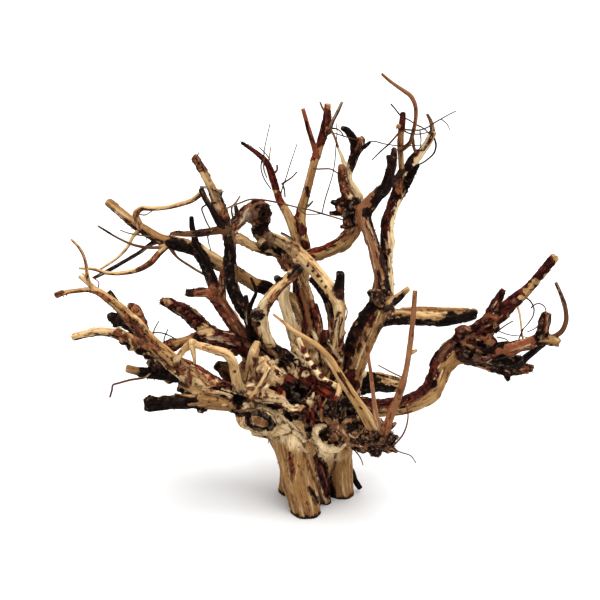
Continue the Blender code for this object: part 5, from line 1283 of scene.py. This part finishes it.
def even_out(piece, values, rounds):
    """The values of the places, each the mean of its neighbours', taken again and again."""
    links = np.empty(2 * len(piece.data.edges), np.int32)
    piece.data.edges.foreach_get("vertices", links)
    one, two = links.reshape(-1, 2).T
    count = len(values)
    met = np.bincount(one, minlength=count) + np.bincount(two, minlength=count)
    for _ in range(rounds):
        sums = [np.bincount(one, column[two], count) + np.bincount(two, column[one], count)
                for column in values.T]
        values = np.column_stack(sums) / met[:, None]
    return values


# Dressing a piece with relief, bark and colour

SEARCH_MARGIN = 8.0
FAR_AWAY = 1e6


def find_owners(limbs, places):
    """For each place, the limb whose skin it lies on, the next nearest, and the coordinates on the first."""
    count = len(places)
    first, second = np.full(count, FAR_AWAY), np.full(count, FAR_AWAY)
    owner, other = np.zeros(count, int), np.zeros(count, int)
    straight, radius = np.zeros((count, 3)), np.ones(count)
    for index, limb in enumerate(limbs):
        low = (limb.places - limb.radii[:, None]).min(axis=0) - SEARCH_MARGIN
        high = (limb.places + limb.radii[:, None]).max(axis=0) + SEARCH_MARGIN
        near = np.flatnonzero(((places > low) & (places < high)).all(axis=1))
        if not len(near):
            continue
        depth, local, thick = limb.local(places[near])
        wins = depth < first[near]
        won, lost = near[wins], near[~wins]
        second[won], other[won] = first[won], owner[won]
        first[won], owner[won] = depth[wins], index
        straight[won], radius[won] = local[wins], thick[wins]
        nearer = depth[~wins] < second[lost]
        second[lost[nearer]], other[lost[nearer]] = depth[~wins][nearer], index
    return owner, other, second - first, straight, radius


# Creases between limbs: how many millimetres nearer one limb is than the next, and how much that is softened.
SOFTENED = ((0, 1), (1, 0.7), (2, 0.4), (3.5, 0.15))
SOFTENING_ROUNDS = 6


def soften_joints(piece, closeness):
    """Round off the creases where limbs meet."""
    group = piece.vertex_groups.new(name="joints")
    for low, weight in SOFTENED:
        chosen = np.flatnonzero((closeness >= low) & (closeness < low + 1))
        group.add(chosen.tolist(), weight, "REPLACE")
    finish_with(piece, "SMOOTH", factor=0.5, iterations=SOFTENING_ROUNDS, vertex_group="joints")


def add_attribute(piece, name, kind, values):
    attribute = piece.data.attributes.new(name, kind, "POINT")
    field = {"FLOAT": "value", "FLOAT_VECTOR": "vector", "FLOAT_COLOR": "color"}[kind]
    attribute.data.foreach_set(field, np.ascontiguousarray(values, dtype=np.float32).ravel())


# A patch is whole out to the first of these shares of its radius and gone beyond the second, and its edge
# is ragged. Cover is how surely bark covers a place: below zero is bare wood.
PATCH_EDGE = (0.6, 1.25)
PATCH_REACH = 1.8
FULL_RAGGED_RADIUS = 5
PATCH_COVER = 1.3
PATCH_SMOOTHNESS = 0.85
# The foot's rim is black from the first height to the second, in millimetres, and as ragged as the third.
RIM_COVER = 1.2
RIM_LOW, RIM_HIGH, RIM_RAGGED = 1.2, 5.4, 9


def paint(limbs, owner, places, cover, rough, tones):
    """Lay the patches on the limbs they belong to: each sets the wood's tone or the bark's and its cover."""
    seen = seen_at(places)
    ragged = 0.4 * ripple(places, "ragged patch") + 0.25 * ripple(places, "finely ragged patch")
    for name, homes, spots in PATCHES:
        homes = {home.strip() for home in homes.split(",")}
        orders = [index for index, limb in enumerate(limbs) if limb.name in homes]
        lies_on = np.flatnonzero(np.isin(owner, orders))
        bare = name in BARE_COLOURS
        tone = tones[0 if bare else 1]
        wanted = -PATCH_COVER if bare else PATCH_COVER
        for across, down, radius in spots:
            away = np.hypot(*(seen[lies_on] - (across, down)).T) / radius
            reached = away < PATCH_REACH
            near = lies_on[reached]
            fray = ragged[near] * min(1, radius / FULL_RAGGED_RADIUS)
            share = 1 - ease(away[reached] + fray, *PATCH_EDGE)
            tone[near] += (colour(name) - tone[near]) * share[:, None]
            cover[near] += (wanted - cover[near]) * share
            rough[near] *= 1 - PATCH_SMOOTHNESS * share
    rim = 1 - ease(places[:, 2] + RIM_RAGGED * ragged, RIM_LOW, RIM_HIGH)
    tones[1] += (colour("black") - tones[1]) * rim[:, None]
    cover += (RIM_COVER - cover) * rim


def coat_limbs(limbs, owner, other, closeness, grain, normals):
    """The cover of bark, how rough it is and the tones of wood and bark that the limbs' coats give."""

    def by_limb(pick, whose=owner):
        return np.array([pick(limb) for limb in limbs])[whose]

    share = by_limb(lambda limb: limb.coat[2])
    angles = by_limb(lambda limb: math.radians(SIDES_OF_SHEET.get(limb.coat[3], 0)))
    sided = by_limb(lambda limb: limb.coat[3] is not None)
    gnarl = by_limb(lambda limb: limb.coat[4])
    facing = normals @ SHEET_RIGHT * np.cos(angles) + normals @ SHEET_UP * np.sin(angles)
    spread = ripple(grain, "spread of bark") + 0.5 * ripple(grain, "ragged edge of bark")
    cover = np.where(sided, 1.1 * facing + 0.5 * spread, spread * 1.1) + (2.0 * share - 1.0)
    blend = (0.5 * np.exp(-closeness / 2.0))[:, None]
    tones = [by_limb(lambda limb: colour(limb.coat[slot])) * (1 - blend)
             + by_limb(lambda limb: colour(limb.coat[slot]), other) * blend for slot in (0, 1)]
    return cover, gnarl, tones


# Relief in millimetres, and the radii at which a limb is thick enough to carry it in full.
MOST_FLUTE = 2.0
CRACK_DEPTH = 1.2
FULL_CRACK_RADIUS, FULL_LUMP_RADIUS, FULL_RELIEF_RADIUS = 9, 7, 4
FOOT_ZONE = 0.3


def relief(places, grain, round_share, radius, cover, gnarl, rough, settings):
    """How far the skin stands out: flutes, fibres, lumps, cracks and the crumbs and pits of bark."""
    fibres = -np.abs(ripple(grain, "fibres")) - 0.5 * np.abs(ripple(grain, "fine fibres"))
    lumps = ripple(places, "lumps") + 0.6 * ripple(places, "small lumps")
    crumbs = ripple(grain, "crumbs") + 0.6 * ripple(places, "small crumbs")
    pits = ease(ripple(places, "pits"), 0.2, 0.5)
    cracks = 1 - ease(np.abs(ripple(grain, "cracks")), 0.0, 0.08)
    cracks *= ease(ripple(grain, "cracked parts"), 0.0, 0.35) * np.minimum(radius / FULL_CRACK_RADIUS, 1)
    depth = np.minimum(radius * settings.flute_depth, MOST_FLUTE) * ripple(round_share, "flutes")
    depth += settings.fibre_depth / MILLIMETRE * (fibres + 0.4) * 2
    depth += gnarl * lumps * np.minimum(radius / FULL_LUMP_RADIUS, 1)
    depth -= cracks * CRACK_DEPTH
    bark = ease(cover, -0.2, 0.3)
    depth += bark * settings.bark_thickness / MILLIMETRE * (0.5 + (0.2 + rough) * crumbs - rough * pits)
    return depth * np.minimum(radius / FULL_RELIEF_RADIUS, 1)


SKIN_ROUNDS, LIMB_ROUNDS = 6, 40
# The hollow measure is painted as shade by the material: its gain on the skin, its gain on twigs where low
# relief counts as hollow, and the painted shade added in the creases where limbs meet.
HOLLOW_GAIN, TWIG_HOLLOW_GAIN, JOINT_SHADE = 1.5, -0.5, 0.3


def find_hollows(piece):
    """How far each place lies below the skin round it, less what the limb's own roundness gives."""
    places = mesh_places(piece)
    inward = (even_out(piece, places, SKIN_ROUNDS) - places) * mesh_values(piece, "normal")
    hollow = inward.sum(axis=1, keepdims=True)
    return (hollow - even_out(piece, hollow, LIMB_ROUNDS))[:, 0]


NOISE_SHIFT = np.array((7.0, 3.0, 11.0))
FLUTE_LENGTH = 30.0


def dress(piece, limbs, settings, raised=True):
    """Give a piece its relief, and the marks that its material reads: grain, cover, hollows that it paints as
    shade, and tones with painted shade on the undersides.
    """
    places = mesh_places(piece)
    owner, other, closeness, straight, radius = find_owners(limbs, places)
    whole = piece.name == "wood_skin"
    if whole:
        soften_joints(piece, closeness)
        places = mesh_places(piece)
    normals = mesh_values(piece, "normal")
    shift = np.array([limb.order for limb in limbs])[owner][:, None] * NOISE_SHIFT
    grain = straight + shift
    cover, gnarl, tones = coat_limbs(limbs, owner, other, closeness, grain, normals)
    rough = ease(gnarl, 0.2, 1.4)
    paint(limbs, owner, places, cover, rough, tones)
    # Painted shade: both tones are darker on the undersides and a little lighter on top.
    underside_shade = 0.78 + 0.3 * ease(normals[:, 2], -0.7, 0.6)

    hollow = np.zeros(len(places))
    if raised:
        round_share = straight / np.column_stack((radius, radius, np.full(len(radius), FLUTE_LENGTH))) + shift
        depth = relief(places, grain, round_share, radius, cover, gnarl, rough, settings)
        moved = places + normals * depth[:, None]
        moved[:, 2] = np.where(places[:, 2] < FOOT_ZONE, places[:, 2], np.maximum(moved[:, 2], 0))
        put_places(piece, moved)
        hollow = find_hollows(piece) * HOLLOW_GAIN if whole else TWIG_HOLLOW_GAIN * depth

    add_attribute(piece, "grain", "FLOAT_VECTOR", grain)
    add_attribute(piece, "cover", "FLOAT", cover)
    add_attribute(piece, "rough", "FLOAT", rough)
    # The hollow mark, painted as shade by the material, with more painted shade in the creases between limbs.
    add_attribute(piece, "hollow", "FLOAT", hollow + JOINT_SHADE * np.exp(-closeness / 1.5))
    # The tones carry the painted shade of the undersides.
    for name, tone in zip(("wood_tone", "bark_tone"), tones):
        add_attribute(piece, name, "FLOAT_COLOR", np.column_stack((tone * underside_shade[:, None], np.ones(len(tone)))))


def shape_flake():
    """One flake of loose bark, a millimetre long, growing along X from its root and lifting at its tip."""
    bpy.ops.mesh.primitive_cone_add(vertices=5, radius1=0.32, radius2=0.08, depth=1, end_fill_type="TRIFAN")
    flake = bpy.context.object
    flake.name = "flake"
    with editing():
        bpy.ops.transform.rotate(value=math.pi / 2, orient_axis="Y")
        bpy.ops.transform.translate(value=(0.42, 0, 0))
        bpy.ops.transform.resize(value=(1, 1, 0.45))
        bpy.ops.mesh.normals_make_consistent(inside=False)
    for vertex in flake.data.vertices:
        vertex.co.z += 0.35 * vertex.co.x ** 2
    return flake


# Flakes: how high above the foot they begin and how deep their roots are, in metres.
FLAKE_LOWEST = 0.012
FLAKE_SINK = 0.0004


def place_flake(flake, spot, chance):
    """A copy of the flake on a point of the skin, turned, sized and lifted at random."""
    along = Vector([chance.uniform(-1, 1) for _ in range(3)]).cross(spot.normal).normalized()
    across = spot.normal.cross(along)
    length = chance.uniform(1.8, 3.8) * chance.choice((0.7, 1, 1.3, 1.9))
    sizes = Vector((length, 2.2 * chance.uniform(0.4, 1.0), 2.0 * chance.uniform(0.4, 0.9)))
    turn = Matrix((along, across, spot.normal)).transposed()
    place = Matrix.LocRotScale(spot.co - spot.normal * FLAKE_SINK, turn.to_quaternion(), sizes * MILLIMETRE)
    tilt = Matrix.Rotation(-chance.uniform(0.1, 1.3), 4, "Y")
    copy = bpy.data.objects.new("flake", flake.data.copy())
    copy.data.transform(place @ tilt)
    bpy.context.collection.objects.link(copy)
    return copy


# Materials

class Signal:
    """A node's output that takes part in sums; each sum adds its Math node."""

    def __init__(self, bench, socket):
        self.bench = bench
        self.socket = socket

    def __add__(self, other):
        return self.bench.maths("ADD", self, other)

    def __sub__(self, other):
        return self.bench.maths("SUBTRACT", self, other)

    def __rsub__(self, other):
        return self.bench.maths("SUBTRACT", other, self)

    def __mul__(self, other):
        return self.bench.maths("MULTIPLY", self, other)

    __radd__ = __add__
    __rmul__ = __mul__


class Bench:
    """A new material and its nodes."""

    def __init__(self, name):
        self.material = bpy.data.materials.new(name)
        self.material.use_nodes = True
        self.tree = self.material.node_tree
        self.surface = self.tree.nodes["Principled BSDF"].inputs

    def node(self, kind, settings, sockets, output=0):
        made = self.tree.nodes.new(kind)
        for name, value in settings.items():
            setattr(made, name, value)
        for name, value in sockets.items():
            self.feed(made.inputs[name], value)
        return Signal(self, made.outputs[output])

    def feed(self, socket, value):
        if isinstance(value, Signal):
            self.tree.links.new(value.socket, socket)
        else:
            socket.default_value = value

    def maths(self, operation, *values):
        return self.node("ShaderNodeMath", {"operation": operation}, dict(enumerate(values)))

    def step(self, value, low, high):
        """From 0 at low to 1 at high, with soft ends."""
        return self.node("ShaderNodeMapRange", {"interpolation_type": "SMOOTHSTEP"},
                         {"Value": value, "From Min": low, "From Max": high})

    def blend(self, share, first, second, mode="MIX"):
        return self.node("ShaderNodeMix", {"data_type": "RGBA", "blend_type": mode},
                         {0: share, 6: first, 7: second}, 2)

    def mark(self, name, output="Fac"):
        return self.node("ShaderNodeAttribute", {"attribute_name": name}, {}, output)

    def noise(self, vector, scale, detail, rough):
        """Noise round zero."""
        return self.node("ShaderNodeTexNoise", {"noise_dimensions": "3D"},
                         {"Vector": vector, "Scale": scale, "Detail": detail, "Roughness": rough}) - 0.5

    def stretch(self, vector, along):
        return self.node("ShaderNodeVectorMath", {"operation": "MULTIPLY"}, {0: vector, 1: (1, 1, along)})


# Colours of the material in linear light.
PALE_STREAK = (0.88, 0.71, 0.45, 1)
FIBRE_LINE = (0.075, 0.028, 0.011, 1)
FLECK = (0.05, 0.018, 0.008, 1)
BARE_SHADE = (0.1, 0.04, 0.018, 1)
# Painted highlight colour for where the skin stands out.
RAISED_HIGHLIGHT = (0.86, 0.68, 0.44, 1)
# Gain for lighter bark, partly wear and partly painted highlight.
WEAR_AND_HIGHLIGHT_GAIN = (3.4, 2.9, 2.6, 1)

# Noises by name: squeeze along the grain, scale, detail and roughness.
NOISES = {
    "streaks": (0.07, 0.28, 4, 0.6),
    "fibres": (0.07, 1.2, 3, 0.65),
    "flecks": (0.4, 0.4, 5, 0.7),
    "crumbs": (1, 0.65, 3, 0.7),
    "clods": (1, 0.22, 4, 0.65),
    "broad": (1, 0.1, 3, 0.6),
    "splits": (0.3, 0.3, 3, 0.6),
}


def root_wood(settings):
    """Bare wood with long grain, and bark left on it in rough crumbs, with painted shade in the hollows and
    creases and painted highlights where the skin stands out.
    """
    streak, edge_wear_and_highlight, deep = ((*value, 1) for value in (
        settings.streak_colour, settings.edge_wear_and_highlight_colour, settings.crack_and_shade_colour))
    bench = Bench("root wood")
    step, blend = bench.step, bench.blend
    grain = bench.mark("grain", "Vector")
    hollow, rough, cover = (bench.mark(name) for name in ("hollow", "rough", "cover"))
    streaks, fibres, flecks, crumbs, clods, broad, splits = (
        bench.noise(bench.stretch(grain, along), *kind) for along, *kind in NOISES.values())
    grit = (clods + crumbs * 0.6) * (0.3 + rough * 0.7) + fibres * (0.6 - rough * 0.5)
    bark = step(cover + flecks * 2.2 + fibres * 1.6 + streaks * 1.6, -0.12, 0.12)

    wood = bench.mark("wood_tone", "Color")
    wood = blend(step(streaks, -0.01, 0.16) * (0.5 + rough * 0.3), wood, streak)
    wood = blend(step(streaks, -0.02, -0.2) * 0.35, wood, PALE_STREAK)
    wood = blend(step(fibres, 0.03, 0.13) * (0.55 + rough * 0.3), wood, FIBRE_LINE)
    wood = blend(step(flecks + crumbs * 0.4, 0.14, 0.2) * (0.3 + rough * 0.5), wood, FLECK)

    bark_tone = bench.mark("bark_tone", "Color")
    # Lighter red bark in broad random patches, partly painted highlight where the skin stands out.
    wear_and_highlight_bark = blend(1.0, bark_tone, WEAR_AND_HIGHLIGHT_GAIN, "MULTIPLY")
    shell = blend(step(broad + clods * 0.5 + hollow * 0.08, 0.1, -0.12), bark_tone, wear_and_highlight_bark)
    # Black pits of the bark, partly painted shade where the skin is hollow.
    shell = blend(step(grit * 0.6 + hollow * 0.2 + crumbs * 0.4, 0.05, 0.16) * 0.9, shell, deep)
    shell = blend(step(bench.maths("ABSOLUTE", splits), 0.05, 0.01) * 0.8, shell, deep)
    # Lighter bark edges, partly wear and partly painted highlight where the skin stands out.
    edges = step(crumbs + fibres * 0.6 + hollow * 0.15, -0.16, -0.3) * step(splits, -0.1, 0.15)
    shell = blend(edges * 0.6, shell, edge_wear_and_highlight)

    tone = blend(bark, wood, shell)
    # Painted shade in the hollows and creases: black on bark, brown on bare wood.
    tone = blend(step(hollow + grit * 0.7, 0.26, 0.7) * 0.92, tone, blend(bark, BARE_SHADE, deep))
    # Painted highlight on the points that stand out, mostly on bare wood.
    tone = blend(step(hollow + grit, -0.2, -0.8) * (0.3 - bark * 0.25), tone, RAISED_HIGHLIGHT)
    height = fibres * (1 - bark) * 0.6 + grit * bark * 1.3 + streaks * 0.5
    bump = bench.node("ShaderNodeBump", {}, {"Height": height, "Strength": 1.0, "Distance": 0.0012})
    bench.feed(bench.surface["Base Color"], tone)
    bench.feed(bench.surface["Roughness"], 0.8 - bark * 0.14 + fibres * 0.3)
    bench.feed(bench.surface["Normal"], bump)
    bench.feed(bench.surface["Specular IOR Level"], 0.02)
    return bench.material


def plain_floor(tone):
    bench = Bench("pale floor")
    bench.feed(bench.surface["Base Color"], (*tone, 1))
    bench.feed(bench.surface["Roughness"], 0.8)
    return bench.material


# The operators

def settle(piece, settings, replaced=False):
    """Finish a piece: shaded smooth, coated, riding on the one body."""
    choose(piece)
    bpy.ops.object.shade_smooth()
    piece.data.materials.clear()
    piece.data.materials.append(bpy.data.materials.get("root wood") or root_wood(settings))
    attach(piece, BODY)
    if replaced:
        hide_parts(NODE)


def grow_thin(name, limbs, facets, settings):
    """A piece of tubes too thin to be fused into the skin."""
    piece = make_tubes(name, limbs, facets)
    close_tubes()
    dress(piece, limbs, settings)
    settle(piece, settings)


class DRIFTWOOD_OT_skin(bpy.types.Operator):
    """Fuse the thick limbs into one skin with flutes, grain and bark"""

    bl_idname = "driftwood.skin"
    bl_label = "Grow the limbs"

    def execute(self, context):
        settings = context.scene.driftwood
        limbs = thick_or_thin(settings, thin=False)
        skin, strands = fuse_skin(limbs, settings.grain_cell)
        saw_foot(skin)
        dress(skin, limbs + strands, settings)
        skin.data.calc_loop_triangles()
        share = settings.skin_faces / len(skin.data.loop_triangles)
        if share < 1:
            finish_with(skin, "DECIMATE", ratio=share)
        settle(skin, settings, replaced=True)
        return {"FINISHED"}


class DRIFTWOOD_OT_twigs(bpy.types.Operator):
    """Add the thin twigs that grow out of the limbs"""

    bl_idname = "driftwood.twigs"
    bl_label = "Grow the twigs"

    def execute(self, context):
        settings = context.scene.driftwood
        grow_thin("twigs", thick_or_thin(settings, thin=True), STRAND_FACETS, settings)
        return {"FINISHED"}


class DRIFTWOOD_OT_rootlets(bpy.types.Operator):
    """Add the hair rootlets"""

    bl_idname = "driftwood.rootlets"
    bl_label = "Grow the rootlets"

    def execute(self, context):
        grow_thin("rootlets", plan_rootlets(), ROOTLET_FACETS, context.scene.driftwood)
        return {"FINISHED"}


class DRIFTWOOD_OT_flakes(bpy.types.Operator):
    """Scatter loose flakes of bark over the limbs"""

    bl_idname = "driftwood.flakes"
    bl_label = "Scatter the flakes"

    def execute(self, context):
        settings = context.scene.driftwood
        skin = bpy.data.objects["wood_skin"].data
        cover = skin.attributes["cover"].data
        flake = shape_flake()
        chance = random.Random(FLAKE_SEED)
        copies = []
        while len(copies) < settings.flake_count:
            spot = skin.vertices[chance.randrange(len(skin.vertices))]
            if spot.co.z >= FLAKE_LOWEST and cover[spot.index].value >= chance.uniform(-1.2, 0.3):
                copies.append(place_flake(flake, spot, chance))
        bpy.data.objects.remove(flake)
        flakes = join("bark_flakes", copies)
        dress(flakes, thick_or_thin(settings, thin=False), settings, raised=False)
        settle(flakes, settings)
        return {"FINISHED"}


# The stage, in metres and degrees: the sun is wide, so its shadows are soft.
FLOOR_SIZE = 80
FLOOR_LEVEL = -0.0002
SUN_PLACE, SUN_AIM = (0.3, -0.3, 2.2), (0, 0, 0.2)
SUN_WIDTH = 60
SUN_POWER = 4.0
SKY = {"Color": (1, 1, 1, 1), "Strength": 1.0}


class DRIFTWOOD_OT_stage(bpy.types.Operator):
    """Put the wood on a pale floor under soft light, with a camera at the viewer's place"""

    bl_idname = "driftwood.stage"
    bl_label = "Set the stage"

    def execute(self, context):
        bpy.ops.mesh.primitive_plane_add(size=FLOOR_SIZE, location=(0, 0, FLOOR_LEVEL))
        floor = context.object
        floor.name = "floor"
        floor.data.materials.append(plain_floor(context.scene.driftwood.floor_colour))
        bpy.ops.object.light_add(type="SUN", location=SUN_PLACE)
        sun = context.object
        sun.name = "key light"
        sun.data.angle = math.radians(SUN_WIDTH)
        sun.data.energy = SUN_POWER
        sun.rotation_euler = (Vector(SUN_AIM) - Vector(SUN_PLACE)).to_track_quat("-Z", "Y").to_euler()
        world = bpy.data.worlds.new("studio")
        world.use_nodes = True
        for name, value in SKY.items():
            world.node_tree.nodes["Background"].inputs[name].default_value = value
        context.scene.world = world
        context.scene.view_settings.view_transform = "Standard"
        bpy.ops.object.camera_add(location=VIEWER * MILLIMETRE, rotation=(math.pi / 2 - VIEW_SLOPE, 0, 0))
        camera = context.object
        camera.data.angle = 2 * math.atan(SHEET_SIZE / 2 / VIEW_DISTANCE)
        camera.data.clip_start = 0.01
        context.scene.camera = camera
        return {"FINISHED"}


class DRIFTWOOD_PT_panel(bpy.types.Panel):
    bl_label = "Driftwood"
    bl_idname = "DRIFTWOOD_PT_panel"
    bl_space_type = "VIEW_3D"
    bl_region_type = "UI"
    bl_category = "Driftwood"

    def draw(self, context):
        for name in DriftwoodSettings.__annotations__:
            self.layout.prop(context.scene.driftwood, name)
        for operator in OPERATORS:
            self.layout.operator(operator.bl_idname)


OPERATORS = (DRIFTWOOD_OT_stage, DRIFTWOOD_OT_skin, DRIFTWOOD_OT_twigs, DRIFTWOOD_OT_rootlets,
             DRIFTWOOD_OT_flakes)
CLASSES = (DriftwoodSettings, *OPERATORS, DRIFTWOOD_PT_panel)


def register():
    for each in CLASSES:
        bpy.utils.register_class(each)
    bpy.types.Scene.driftwood = PointerProperty(type=DriftwoodSettings)


def unregister():
    del bpy.types.Scene.driftwood
    for each in reversed(CLASSES):
        bpy.utils.unregister_class(each)


def main():
    register()
    bpy.ops.driftwood.stage()
    bpy.ops.driftwood.skin()
    bpy.ops.driftwood.twigs()
    bpy.ops.driftwood.rootlets()
    bpy.ops.driftwood.flakes()


if __name__ == "__main__":
    main()
